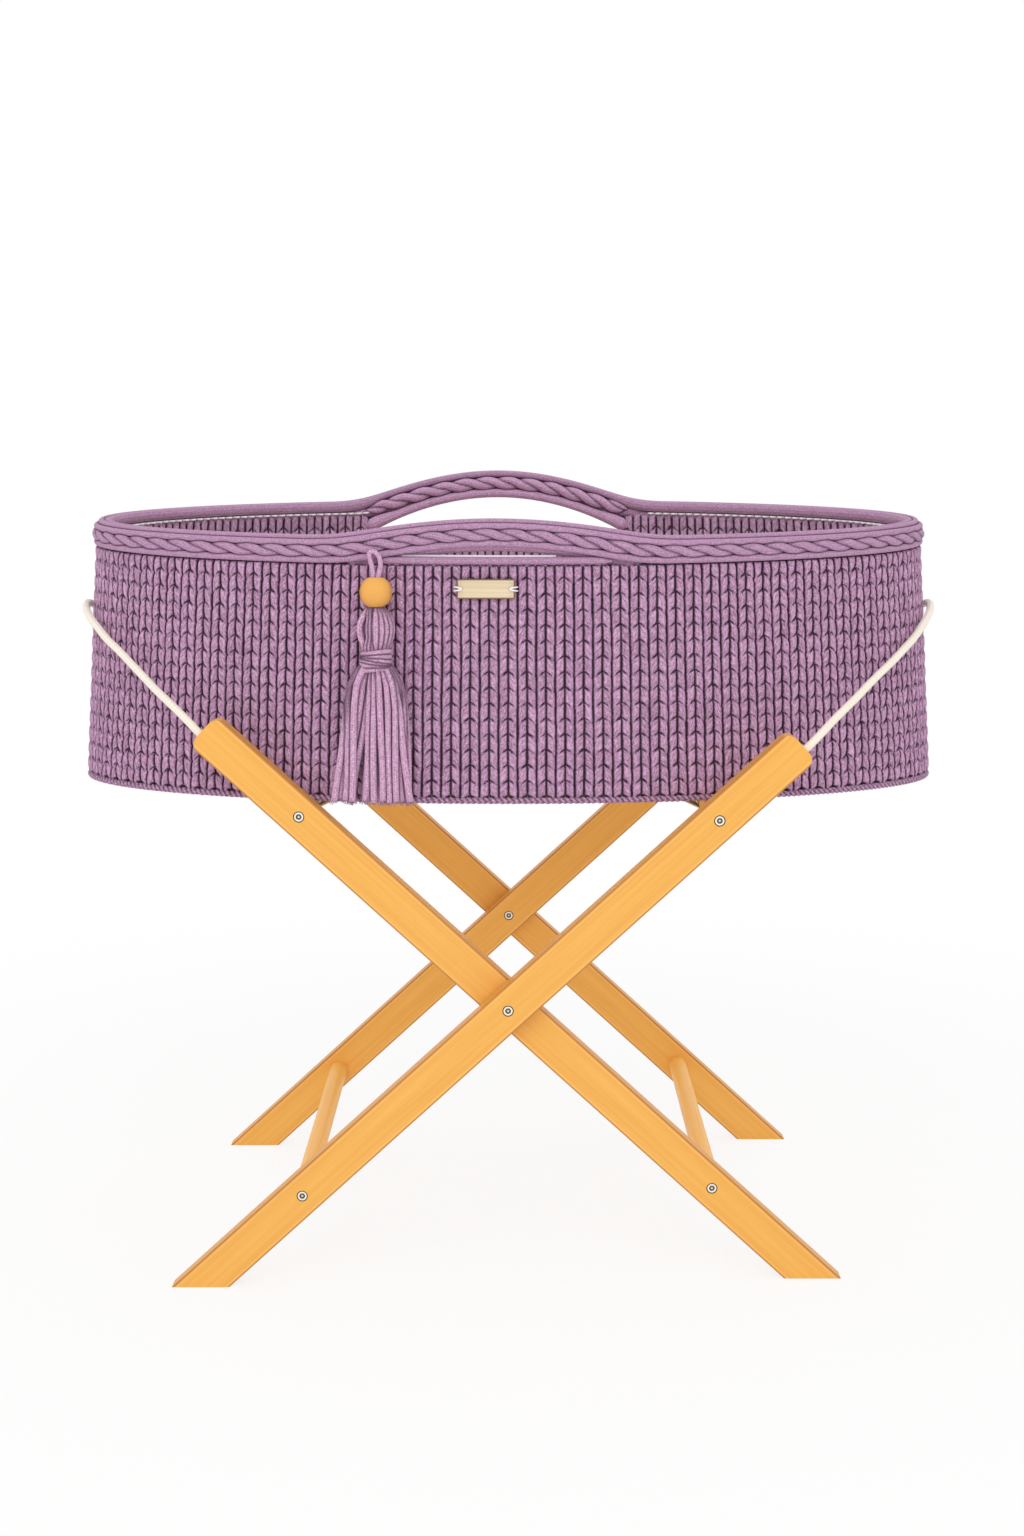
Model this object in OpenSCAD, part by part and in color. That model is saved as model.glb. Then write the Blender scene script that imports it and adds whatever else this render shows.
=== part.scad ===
// Folding cross-leg stand with a knitted oval basket on its two top rods.
// Millimetres. +X runs along the basket, -Y is the front, +Z is up, the floor is z = 0.

/* [Legs] */
// Width of a leg, seen from the front
leg_w = 35; // [28:1:45]
// Thickness of a leg
leg_t = 18; // [15:0.5:24]
// Slope of an open leg above the floor, in degrees
leg_angle = 42.75; // [38:0.25:48]
// From the pivot to the top end of the legs that lean right
right_up = 343; // [310:1:390]
// From the pivot to the top end of the legs that lean left
left_up = 359; // [325:1:410]
// Height of the pivot above the floor
pivot_h = 252.5; // [225:0.5:290]
// Rounding on the long edges of a leg
leg_edge_r = 2; // [1:0.5:4]
// Rounding on the corners of a leg's top end
leg_end_r = 10; // [5:0.5:14]
// Space between the basket's base and the leg beside it
leg_clear = 3.2; // [2.4:0.1:5]

/* [Rods] */
// Diameter of a rod
rod_d = 18; // [16:0.5:24]
// From the pivot to the middle of a rod
rod_reach = 247.5; // [222:0.5:285]

/* [Fasteners] */
// Diameter of the rod bolts and of the screws in the pivot sleeves
bolt_d = 6; // [5:0.5:7]
// Diameter of every fastener head
head_d = 9.2; // [8.4:0.1:10.5]
// Thickness of every fastener head
head_t = 2.4; // [2:0.1:3]
// Width across the corners of a head's hexagon socket
socket_d = 5.4; // [4.8:0.1:6]
// Diameter of the pin in the middle of a socket
pin_d = 2.4; // [2:0.1:3]
// Outside diameter of a threaded insert in a rod end
insert_d = 9; // [8:0.25:10.5]
// Length of a threaded insert
insert_l = 18; // [16:1:22]
// Outside diameter of a pivot sleeve
sleeve_d = 8; // [7.5:0.25:9]
// Outside diameter of a pivot washer
washer_d = 22; // [19:0.5:26]
// Thickness of a pivot washer
washer_t = 1.2; // [1:0.1:1.6]

/* [Straps] */
// Width of a webbing strap
strap_w = 30; // [26:1:36]
// Thickness of the webbing
strap_t = 1.5; // [1.2:0.1:2]
// Distance of each strap from the middle of the stand, as a share of the stand's depth
strap_share = 0.25; // [0.2:0.01:0.3]

/* [Rope] */
// Diameter of the rope
rope_d = 7; // [6:0.25:8]
// Depth of the rope hole in the top end of a leg
rope_hole = 34; // [32:1:40]
// Distance of the rope hole below the middle of the leg's end
rope_low = 5; // [4:0.5:6]

/* [Basket] */
// Length of the basket at its base
base_len = 804; // [730:1:860]
// Depth of the basket at its base
base_wid = 370; // [330:1:374]
// Length of the basket at its rim, outside the wall
rim_len = 776; // [705:1:860]
// Depth of the basket at its rim, outside the wall
rim_wid = 354; // [320:1:370]
// Height of the wall at the middle of the basket
wall_h = 211; // [190:1:245]
// Thickness of the knitted wall
wall_t = 14; // [12:0.5:17]
// How much lower the front of the rim lies than the rear
rim_fall = 27; // [22:1:32]
// Height of the rim band
band_h = 24; // [21:0.5:28]
// Thickness of the rim band
band_t = 20; // [18:0.5:23]
// Thickness of the base board
board_t = 7; // [6:0.5:8.5]
// Thickness of the edging round the base
edging_d = 8; // [7:0.5:9.5]

/* [Handles] */
// Span of each handle arch in the rim, along its top
handle_span = 300; // [280:1:345]
// Span of the slot under each handle
slot_span = 260; // [235:1:275]
// Distance of the handles from the middle of the basket, to the right
handle_shift = -12; // [-14:1:-10]
// Length of the free middle of the front handle
grip_span = 104; // [100:1:110]
// Rise of the front handle over the rim
front_rise = 16; // [15:0.5:19]
// Rise of the rear handle over the rim
rear_rise = 26.5; // [24:0.5:30.5]
// How much taller the rear handle is at its middle than the rim band
rear_swell = 4; // [3:0.5:6]
// How far the wall's edge sinks under the rear handle
rear_dip = 12; // [10:0.5:14]
// Thickness of the corded edge under a handle
lip_d = 7; // [6:0.25:8]

/* [Label] */
// Width of the label plate
label_w = 50; // [45:1:58]
// Height of the label plate
label_h = 17; // [15:0.5:20]
// Thickness of the label plate
label_t = 2.5; // [2:0.1:3]
// Distance of the label from the middle of the basket, to the right
label_x = -19; // [-22:1:-17]
// Distance of the label's middle below the top of the wall
label_drop = 20; // [17.5:0.5:23]

/* [Tassel] */
// Distance of the tassel from the middle of the basket, to the right
tassel_x = -111; // [-121:1:-100]
// Diameter of the wooden bead
bead_d = 28; // [25:0.5:32]
// Height of the bead between its drilled ends
bead_h = 25; // [22:0.5:27]
// Distance of the bead's top below the top of the wall
bead_drop = 11; // [10:0.5:13]
// Width of the tassel's head
head_w = 35; // [31:0.5:40]
// Length of the tassel's head
head_l = 37; // [33:0.5:42]
// Diameter of the tassel's neck
neck_d = 21; // [19:0.5:24]
// Diameter of the yarn wound round the neck
wrap_d = 3.2; // [2.8:0.1:3.7]
// Turns of yarn round the neck
wrap_turns = 4; // [3:1:4]
// Length of the tassel's skirt
skirt_l = 112; // [101:1:116]
// Width of the skirt at its lower end
skirt_w = 70; // [62:1:80]
// Depth of the skirt
skirt_t = 26; // [23:0.5:29]

/* [Hidden] */
$fn = 48;
// running clearance of a sleeve in its hole, all round
run_gap = 0.05;
// clearance of a bolt or an insert in its hole, all round
bolt_gap = 0.2;
// clearance round and over a sunk head
head_gap = 0.35;
// space between two crossed legs over the washer
side_gap = 0.3;
// slack of a strap round its rod and of the basket on the straps
strap_gap = 0.25;
// space between neighbouring soft pieces
soft_gap = 0.25;
// clearance of a rope in its hole, all round
rope_gap = 1;
// cut allowance
eps = 1;

// stand
stagger = leg_t + washer_t + side_gap;
rod_x = rod_reach * cos(leg_angle);
rod_top_z = pivot_h + rod_reach * sin(leg_angle);
rod_low_z = pivot_h - rod_reach * sin(leg_angle);
sink = head_t + head_gap;
leg_down = pivot_h / sin(leg_angle) + leg_w;
pivot_l = 2 * leg_t + washer_t + side_gap;
sleeve_l = pivot_l - 2 * head_gap - head_t;
bolt_l = leg_t + insert_l - 4;
strap_r = rod_d / 2 + strap_gap;

// basket
base_z = rod_top_z + strap_r + strap_t + strap_gap;
wall_z = base_z + max(edging_d, board_t) + soft_gap;
mid_z = wall_z + wall_h;
a0 = base_len / 2;
b0 = base_wid / 2;
a1 = rim_len / 2;
b1 = rim_wid / 2;
steps = 192;
// how steeply the wall's edge falls to its lowest stretch under the rear handle
dip_slope = 5;
// distance of a corded edge's ends from where the slot gets too low for it
lip_end = 6;

// depth between the two legs of one frame, from the basket's depth where a leg rises past its base
leg_x = (base_z - pivot_h - leg_w / 2 / cos(leg_angle)) / tan(leg_angle);
frame_d = 2 * (b0 * sqrt(1 - pow(leg_x / a0, 2)) + leg_clear) + stagger + leg_t;
rod_l = frame_d - leg_t;
strap_y = strap_share * frame_d;

function unit(v) = v / norm(v);
function side(t, a, b) = unit([cos(t) / a, sin(t) / b, 0]);
function oval(t, a, b, z) = [a * cos(t), b * sin(t), z];
function top_z(t) = mid_z + rim_fall / 2 * sin(t);
function arch(t, span) =
    let (q = 1 - pow((a1 * cos(t) - handle_shift) / (span / 2), 2)) q > 0 ? pow(q, 1.25) : 0;
// underside and top of the rim band, over the level of the rim
function band_low(t) = arch(t, slot_span) * (sin(t) < 0 ? front_rise : rear_rise);
function band_high(t) = band_h + arch(t, handle_span) * (sin(t) < 0 ? front_rise : rear_rise + rear_swell);
// height of the wall's edge, which sinks under the rear handle
function edge_z(t) = top_z(t) - (sin(t) < 0 ? 0 : rear_dip * min(1, dip_slope * arch(t, slot_span)));
// angle on the front of the rim at a distance x from the middle
function front_at(x) = -acos(x / a1);
handle_l = acos((handle_shift - handle_span / 2) / a1);
handle_r = acos((handle_shift + handle_span / 2) / a1);
grip_l = acos((handle_shift - grip_span / 2) / a1);
grip_r = acos((handle_shift + grip_span / 2) / a1);

// closed ring of sections, each listed from its top over its outer side
function ring_faces(m, n) = [
    for (i = [0 : m - 1])
        for (k = [0 : n - 1])
            let (a = i * n + k, b = i * n + (k + 1) % n, j = (i + 1) % m, c = j * n + k, d = j * n + (k + 1) % n)
                each [[a, c, d], [a, d, b]]
];
// run of sections closed by a fan at both ends
function run_faces(m, n) = concat(
    [for (k = [1 : n - 2]) [0, k, k + 1]],
    [for (i = [0 : m - 2])
        for (k = [0 : n - 1])
            let (a = i * n + k, b = i * n + (k + 1) % n, c = a + n, d = b + n)
                each [[a, c, d], [a, d, b]]],
    [for (k = [1 : n - 2]) [(m - 1) * n, (m - 1) * n + k + 1, (m - 1) * n + k]]
);
function along(p, i) = unit(p[min(i + 1, len(p) - 1)] - p[max(i - 1, 0)]);
function loop(p, t, up, r, n) =
    let (u = unit(cross(up, t)), v = cross(t, u))
        [for (k = [0 : n - 1]) p + r * (cos(360 * k / n) * u + sin(360 * k / n) * v)];

module tube(path, r, n, up) {
    polyhedron(
        [for (i = [0 : len(path) - 1]) each loop(path[i], along(path, i), up, r, n)],
        run_faces(len(path), n), convexity = 6);
}

// rounded oblong outline, one round radius at each corner
module oblong(w, h, r) {
    square([w - 2 * r, h], center = true);
    square([w, h - 2 * r], center = true);
    for (x = [-1, 1])
        for (y = [-1, 1])
            translate([x * (w / 2 - r), y * (h / 2 - r)])
                circle(r);
}

// frame 1 leans to the right at its top, frame -1 is its mirror, one leg thickness further back
module frame_side(s) {
    mirror([s < 0 ? 1 : 0, 0, 0])
        translate([0, -s * stagger / 2, 0])
            children();
}

module drill(d, h) {
    rotate([90, 0, 0])
        cylinder(d = d, h = h, center = true);
}

// end is -1 for the front leg and 1 for the rear leg, pivot_end the face that takes the pivot's head
module leg(end, pivot_end, leg_up) {
    translate([0, end * frame_d / 2, 0])
        difference() {
            intersection() {
                translate([0, 0, pivot_h])
                    rotate([0, 90 - leg_angle, 0])
                        translate([0, 0, -leg_down])
                            linear_extrude(leg_down + leg_up)
                                oblong(leg_w, leg_t, leg_edge_r);
                rotate([90, 0, 0])
                    linear_extrude(leg_t, center = true)
                        intersection() {
                            translate([0, pivot_h])
                                rotate(leg_angle)
                                    translate([(leg_up - leg_down) / 2, 0])
                                        oblong(leg_up + leg_down, leg_w, leg_end_r);
                            translate([-leg_down, 0])
                                square([leg_down + leg_up, pivot_h + leg_up + leg_w]);
                        }
            }
            translate([0, 0, pivot_h])
                drill(sleeve_d + 2 * run_gap, leg_t + 2 * eps);
            translate([0, pivot_end * (leg_t / 2 - sink / 2 + eps / 2), pivot_h])
                drill(head_d + 2 * head_gap, sink + eps);
            for (p = [[rod_x, rod_top_z], [-rod_x, rod_low_z]])
                translate([p[0], 0, p[1]]) {
                    drill(bolt_d + 2 * bolt_gap, leg_t + 2 * eps);
                    translate([0, end * (leg_t / 2 - sink / 2 + eps / 2), 0])
                        drill(head_d + 2 * head_gap, sink + eps);
                }
            translate([0, 0, pivot_h])
                rotate([0, 90 - leg_angle, 0])
                    translate([rope_low, 0, leg_up - rope_hole])
                        cylinder(d = rope_d + 2 * rope_gap, h = rope_hole + eps);
        }
}

module rod(x, z) {
    translate([x, 0, z])
        difference() {
            drill(rod_d, rod_l);
            for (e = [-1, 1])
                translate([0, e * rod_l / 2, 0])
                    drill(insert_d + 2 * run_gap, 2 * (insert_l + soft_gap));
        }
}

// fastener head with a hexagon socket, its outer face at y = 0, the shank towards +y
module head() {
    rotate([-90, 0, 0])
        difference() {
            cylinder(d = head_d, h = head_t);
            translate([0, 0, -eps])
                difference() {
                    cylinder(d = socket_d, h = eps + head_t * 0.7, $fn = 6);
                    cylinder(d = pin_d, h = eps + head_t);
                }
        }
}

module rod_bolt() {
    head();
    translate([0, head_t, 0])
        rotate([-90, 0, 0])
            cylinder(d = bolt_d, h = bolt_l - head_t);
}

module at_rod_ends() {
    for (p = [[rod_x, rod_top_z], [-rod_x, rod_low_z]])
        for (e = [0, 1])
            translate([p[0], 0, p[1]])
                mirror([0, e, 0])
                    children();
}

module rod_bolts() {
    at_rod_ends()
        translate([0, -frame_d / 2 - leg_t / 2 + head_gap, 0])
            rod_bolt();
}

module rod_inserts() {
    at_rod_ends()
        translate([0, -rod_l / 2 + insert_l / 2, 0])
            difference() {
                drill(insert_d, insert_l);
                drill(bolt_d + 2 * run_gap, insert_l + 2 * eps);
            }
}

// end is -1 for the front crossing and 1 for the rear one
module at_pivot(end) {
    translate([0, end * frame_d / 2 - stagger / 2 - leg_t / 2, pivot_h])
        children();
}

module pivot_sleeve(end) {
    at_pivot(end)
        translate([0, head_gap, 0]) {
            head();
            translate([0, head_t, 0])
                rotate([-90, 0, 0])
                    difference() {
                        cylinder(d = sleeve_d, h = sleeve_l - head_t);
                        translate([0, 0, leg_t / 2])
                            cylinder(d = bolt_d + 2 * run_gap, h = sleeve_l);
                    }
        }
}

module pivot_screw(end) {
    at_pivot(end)
        translate([0, pivot_l - head_gap, 0])
            mirror([0, 1, 0]) {
                head();
                translate([0, head_t, 0])
                    rotate([-90, 0, 0])
                        cylinder(d = bolt_d, h = leg_t);
            }
}

module pivot_washer(end) {
    at_pivot(end)
        translate([0, leg_t + washer_t / 2, 0])
            difference() {
                drill(washer_d, washer_t);
                drill(sleeve_d + 2 * bolt_gap, washer_t + 2 * eps);
            }
}

module strap(end) {
    translate([0, end * strap_y, 0])
        rotate([90, 0, 0])
            linear_extrude(strap_w, center = true)
                difference() {
                    union() {
                        for (x = [-rod_x, rod_x])
                            translate([x, rod_top_z])
                                circle(strap_r + strap_t);
                        translate([-rod_x, rod_top_z + strap_r])
                            square([2 * rod_x, strap_t]);
                    }
                    for (x = [-rod_x, rod_x])
                        translate([x, rod_top_z])
                            circle(strap_r);
                }
}

// route of each rope, out of the front leg's end, round the basket and into the rear leg's end
right_route = [
    [233, -200, 461], [244, -200, 471], [255, -200, 481], [263, -196, 488], [272, -187, 495],
    [283, -173, 503], [296, -158, 512], [309, -143, 521], [321, -129, 530], [334, -114, 539],
    [347, -100, 548], [359, -86, 557], [371, -71, 566], [381, -55, 575], [390, -38, 584],
    [396, -20, 591], [398, 0, 594], [396, 20, 591], [390, 38, 584], [381, 55, 575],
    [371, 71, 566], [359, 86, 557], [346, 99, 548], [332, 111, 538], [318, 123, 528],
    [304, 136, 518], [290, 149, 508], [278, 161, 499], [266, 173, 490], [255, 180, 481],
    [244, 180, 471], [233, 180, 461]
];
left_route = [
    [-245, -180, 472], [-256, -180, 482], [-267, -180, 492], [-276, -174, 500], [-287, -162, 508],
    [-300, -148, 517], [-313, -134, 526], [-326, -120, 536], [-339, -106, 546], [-352, -92, 556],
    [-365, -78, 565], [-376, -63, 574], [-386, -47, 582], [-393, -31, 588], [-397, -15, 592],
    [-398, 0, 594], [-397, 15, 592], [-393, 31, 588], [-386, 47, 582], [-378, 62, 574],
    [-367, 77, 565], [-355, 91, 556], [-343, 105, 547], [-331, 120, 538], [-319, 135, 529],
    [-307, 150, 520], [-295, 165, 511], [-284, 180, 504], [-276, 193, 499], [-267, 200, 492],
    [-256, 200, 482], [-245, 200, 472]
];

// route of the tassel's hanging loop, beside the wall: along it, off it and up it
tassel_route = [
    [-2.2, -14.5, -36], [-2.2, -14.5, -28], [-2.2, -14.5, -19], [-2.2, -14.5, -10.5], [-3.2, -12.6, -6],
    [-4.6, -9.6, -1.5], [-6, -7.4, 3], [-7.2, -6.3, 7], [-7.4, -6, 9.6], [-5, -6, 11], [-2, -6, 10.2],
    [0.6, -6.2, 7.4], [2.4, -7, 3], [2.8, -9.2, -1.5], [2.6, -12.6, -6], [2.2, -14.5, -10.5],
    [2.2, -14.5, -19], [2.2, -14.5, -28], [2.2, -14.5, -36]
];

module wall_ring() {
    pts = [
        for (i = [0 : steps - 1])
            let (t = 360 * i / steps, z = edge_z(t))
                each [
                    oval(t, a1 - wall_t, b1 - wall_t, z), oval(t, a1, b1, z),
                    oval(t, a0, b0, wall_z), oval(t, a0 - wall_t, b0 - wall_t, wall_z)
                ]
    ];
    polyhedron(pts, ring_faces(steps, 4), convexity = 6);
}

// stretch of the rim band from one angle to another, its ends cut square
module rim_run(t0, t1, n) {
    u = band_t / 2;
    c = 5;
    pts = [
        for (i = [0 : n])
            let (t = t0 + (t1 - t0) * i / n, l = band_low(t), h = band_high(t),
                p = oval(t, a1 - wall_t / 2, b1 - wall_t / 2, top_z(t) + soft_gap))
                for (q = [[-u + c, h], [u - c, h], [u, h - c], [u, l + c],
                    [u - c, l], [-u + c, l], [-u, l + c], [-u, h - c]])
                    p + q[0] * side(t, a1, b1) + [0, 0, q[1]]
    ];
    polyhedron(pts, run_faces(n + 1, 8), convexity = 8);
}

module base_ring() {
    r = edging_d / 2;
    pts = [
        for (i = [0 : steps - 1])
            let (t = 360 * i / steps, p = oval(t, a0 - r, b0 - r, base_z + r))
                for (k = [0 : 5])
                    p + r * sin(60 * k) * side(t, a0, b0) + [0, 0, r * cos(60 * k)]
    ];
    polyhedron(pts, ring_faces(steps, 6), convexity = 6);
}

module board() {
    e = edging_d + soft_gap;
    translate([0, 0, base_z])
        linear_extrude(board_t)
            polygon([for (i = [0 : steps - 1]) [(a0 - e) * cos(360 * i / steps), (b0 - e) * sin(360 * i / steps)]]);
}

// corded edge of the wall under a handle, s is -1 at the front and 1 at the rear
module lip(s, rise) {
    reach = slot_span / 2 * sqrt(1 - pow((lip_d + 2 * soft_gap) / rise, 0.8)) - lip_end;
    path = [
        for (i = [0 : 16])
            let (t = s * acos((handle_shift - reach + 2 * reach * i / 16) / a1))
                oval(t, a1 - wall_t / 2, b1 - wall_t / 2, edge_z(t) + soft_gap + lip_d / 2)
    ];
    tube(path, lip_d / 2, 8, [0, 0, 1]);
}

// place on the outer side of the front wall, x along it, -y off it, z up it from its top edge
module on_wall(x) {
    t = front_at(x);
    p = oval(t, a1, b1, top_z(t));
    q = oval(t, a0, b0, wall_z);
    n = side(t, a1, b1);
    translate(p)
        rotate([0, 0, atan2(n[0], -n[1])])
            rotate([-atan2((q - p) * n, p[2] - q[2]), 0, 0])
                children();
}

module label() {
    on_wall(label_x)
        translate([0, -soft_gap - label_t / 2, -label_drop])
            difference() {
                rotate([90, 0, 0])
                    linear_extrude(label_t, center = true)
                        oblong(label_w, label_h, 2.5);
                for (e = [-1, 1])
                    translate([e * (label_w / 2 - 4), 0, 0])
                        drill(2, label_t + 2 * eps);
            }
}

// thread through each end hole and round the end of the plate
module stitches() {
    r = 0.6;
    f = -soft_gap - label_t - soft_gap - r;
    on_wall(label_x)
        translate([0, 0, -label_drop])
            for (e = [0, 1])
                mirror([e, 0, 0]) {
                    translate([label_w / 2 - 4, f / 2 - 0.1, 0])
                        drill(2 * r, -f - 0.2);
                    translate([label_w / 2 - 4, f, 0])
                        rotate([0, 90, 0])
                            cylinder(r = r, h = 5);
                    translate([label_w / 2 + 1, f / 2 - 0.1, 0])
                        drill(2 * r, -f - 0.2);
                }
}

tassel_off = max(bead_d, skirt_t) / 2 + 0.5;
bead_z = -bead_drop - bead_h;
head_z = bead_z - head_l;
wrap_pitch = wrap_d + 0.6;
wrap_l = wrap_turns * wrap_pitch + wrap_d + 1;
skirt_z = head_z - wrap_l;

module in_tassel(z) {
    on_wall(tassel_x)
        translate([0, -tassel_off, z])
            children();
}

module hang_loop() {
    on_wall(tassel_x)
        tube(tassel_route, 1.8, 8, [0, 1, 0]);
}

module bead() {
    in_tassel(bead_z + bead_h / 2)
        difference() {
            intersection() {
                sphere(d = bead_d);
                cube([2 * bead_d, 2 * bead_d, bead_h], center = true);
            }
            cylinder(d = 8.8, h = 2 * bead_d, center = true);
        }
}

// oval ring of points at a height, with a lobe for every strand
function lobed(w, d, z, n, deep) = [
    for (k = [0 : 3 * n - 1])
        let (f = k % 3 == 0 ? 1 - deep : 1, p = 120 * k / n)
            [w / 2 * f * cos(p), d / 2 * f * sin(p), z]
];

module tassel_top() {
    n = 12;
    // share of the length from the foot up, share of the width, depth of the lobes
    shape = [[0, 0.62, 0.02], [0.08, 0.84, 0.07], [0.22, 0.97, 0.11], [0.42, 1, 0.12], [0.62, 0.93, 0.12],
        [0.8, 0.74, 0.1], [0.93, 0.46, 0.07], [1, 0.2, 0.02]];
    pts = concat(
        lobed(neck_d, neck_d, -wrap_l, n, 0), lobed(neck_d, neck_d, -0.5, n, 0),
        [for (s = shape) each lobed(head_w * s[1], skirt_t * min(1, s[1] * 1.04), s[0] * (head_l - soft_gap), n, s[2])]);
    in_tassel(head_z)
        polyhedron(pts, run_faces(len(shape) + 2, 3 * n), convexity = 6);
}

module tassel_bottom() {
    n = 16;
    // share of the length from the foot up, share of the width, depth of the lobes
    shape = [[0, 1, 0.16], [0.12, 0.985, 0.16], [0.35, 0.92, 0.15], [0.6, 0.8, 0.13], [0.8, 0.64, 0.11],
        [0.93, 0.48, 0.08], [1, 0.34, 0.02]];
    pts = [for (s = shape) each lobed(skirt_w * s[1], skirt_t * min(1, 0.62 + s[1] * 0.5), s[0] * skirt_l, n, s[2])];
    in_tassel(skirt_z - skirt_l - soft_gap)
        polyhedron(pts, run_faces(len(shape), 3 * n), convexity = 6);
}

// one yarn wound round the neck, with a straight end at each side
wrap_r = neck_d / 2 + soft_gap + wrap_d / 2;
wrap_coil = [for (i = [0 : 24 * wrap_turns])
    [wrap_r * cos(15 * i), wrap_r * sin(15 * i), wrap_pitch * i / 24]];
wrap_path = concat(
    [wrap_coil[0] - wrap_d * unit(wrap_coil[1] - wrap_coil[0])], wrap_coil,
    [wrap_coil[24 * wrap_turns] + wrap_d * unit(wrap_coil[24 * wrap_turns] - wrap_coil[24 * wrap_turns - 1])]);
wrap_least = min([for (i = [0 : len(wrap_path) - 1])
    for (j = [i + 12 : 1 : len(wrap_path) - 1])
        norm(wrap_path[i] - wrap_path[j])]) - wrap_d;
echo(least_gap_of_the_wound_yarn = wrap_least);

module binding() {
    in_tassel(head_z - wrap_l + 0.5 + wrap_d / 2)
        tube(wrap_path, wrap_d / 2, 6, [0, 0, 1]);
}

module right_frame_front_leg() { color("Goldenrod") frame_side(1) leg(-1, -1, right_up); }
module right_frame_rear_leg() { color("Goldenrod") frame_side(1) leg(1, -1, right_up); }
module right_frame_top_rod() { color("Goldenrod") frame_side(1) rod(rod_x, rod_top_z); }
module right_frame_bottom_rod() { color("Goldenrod") frame_side(1) rod(-rod_x, rod_low_z); }
module right_frame_bolts() { color("Silver") frame_side(1) rod_bolts(); }
module right_frame_inserts() { color("DarkGray") frame_side(1) rod_inserts(); }
module left_frame_front_leg() { color("Goldenrod") frame_side(-1) leg(-1, 1, left_up); }
module left_frame_rear_leg() { color("Goldenrod") frame_side(-1) leg(1, 1, left_up); }
module left_frame_top_rod() { color("Goldenrod") frame_side(-1) rod(rod_x, rod_top_z); }
module left_frame_bottom_rod() { color("Goldenrod") frame_side(-1) rod(-rod_x, rod_low_z); }
module left_frame_bolts() { color("Silver") frame_side(-1) rod_bolts(); }
module left_frame_inserts() { color("DarkGray") frame_side(-1) rod_inserts(); }
module front_pivot_sleeve() { color("Silver") pivot_sleeve(-1); }
module front_pivot_screw() { color("Silver") pivot_screw(-1); }
module front_pivot_washer() { color("DarkGray") pivot_washer(-1); }
module rear_pivot_sleeve() { color("Silver") pivot_sleeve(1); }
module rear_pivot_screw() { color("Silver") pivot_screw(1); }
module rear_pivot_washer() { color("DarkGray") pivot_washer(1); }
module front_strap() { color("Linen") strap(-1); }
module rear_strap() { color("Linen") strap(1); }
module right_rope() { color("Ivory") tube(right_route, rope_d / 2, 8, [0, 0, 1]); }
module left_rope() { color("Ivory") tube(left_route, rope_d / 2, 8, [0, 0, 1]); }
module basket_wall() { color("Thistle") wall_ring(); }
module front_handle() { color("Plum") rim_run(-grip_l, -grip_r, 12); }
module rear_handle() { color("Plum") rim_run(handle_r, handle_l, 20); }
module right_rim() { color("Plum") rim_run(-grip_r, handle_r, 56); }
module left_rim() { color("Plum") rim_run(handle_l, 360 - grip_l, 56); }
module front_handle_lip() { color("Plum") lip(-1, front_rise); }
module rear_handle_lip() { color("Plum") lip(1, rear_rise); }
module base_board() { color("BurlyWood") board(); }
module base_edging() { color("Plum") base_ring(); }
module label_plate() { color("Wheat") label(); }
module label_threads() { color("White") stitches(); }
module tassel_loop() { color("Plum") hang_loop(); }
module tassel_bead() { color("Goldenrod") bead(); }
module tassel_head() { color("Plum") tassel_top(); }
module tassel_binding() { color("Plum") binding(); }
module tassel_skirt() { color("Plum") tassel_bottom(); }

right_frame_front_leg();
right_frame_rear_leg();
right_frame_top_rod();
right_frame_bottom_rod();
right_frame_bolts();
right_frame_inserts();
left_frame_front_leg();
left_frame_rear_leg();
left_frame_top_rod();
left_frame_bottom_rod();
left_frame_bolts();
left_frame_inserts();
front_pivot_sleeve();
front_pivot_screw();
front_pivot_washer();
rear_pivot_sleeve();
rear_pivot_screw();
rear_pivot_washer();
front_strap();
rear_strap();
right_rope();
left_rope();
basket_wall();
left_rim();
right_rim();
front_handle();
rear_handle();
front_handle_lip();
rear_handle_lip();
base_board();
base_edging();
label_plate();
label_threads();
tassel_loop();
tassel_bead();
tassel_head();
tassel_binding();
tassel_skirt();
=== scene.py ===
import math

import bmesh
import bpy
import numpy as np
from mathutils import Matrix, Vector, kdtree


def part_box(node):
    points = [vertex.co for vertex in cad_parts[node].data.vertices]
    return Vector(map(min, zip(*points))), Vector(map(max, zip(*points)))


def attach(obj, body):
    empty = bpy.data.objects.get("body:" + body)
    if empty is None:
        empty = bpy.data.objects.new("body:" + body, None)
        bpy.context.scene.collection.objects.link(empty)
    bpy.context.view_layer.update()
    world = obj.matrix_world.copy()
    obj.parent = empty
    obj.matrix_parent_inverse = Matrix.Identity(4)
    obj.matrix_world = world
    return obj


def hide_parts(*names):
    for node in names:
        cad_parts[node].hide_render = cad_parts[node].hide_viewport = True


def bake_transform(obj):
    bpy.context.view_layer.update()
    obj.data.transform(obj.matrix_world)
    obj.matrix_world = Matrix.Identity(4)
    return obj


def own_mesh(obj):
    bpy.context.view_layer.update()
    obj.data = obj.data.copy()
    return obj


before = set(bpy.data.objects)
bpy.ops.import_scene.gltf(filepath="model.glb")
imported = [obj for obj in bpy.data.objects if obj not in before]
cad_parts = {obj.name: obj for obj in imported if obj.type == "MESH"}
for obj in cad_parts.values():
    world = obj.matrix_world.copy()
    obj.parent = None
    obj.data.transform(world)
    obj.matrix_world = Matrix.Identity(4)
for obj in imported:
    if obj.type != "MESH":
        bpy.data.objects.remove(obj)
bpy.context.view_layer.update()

# Viewpoint
# The photograph looks straight at the broad side of the stand, from a little above the basket's rim.
# Distance, tilt and lens follow from the sizes of the stand and the places of its bolts.
scene = bpy.context.scene
scene.view_settings.view_transform = "Standard"
camera_tilt = math.radians(8.41)
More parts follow.
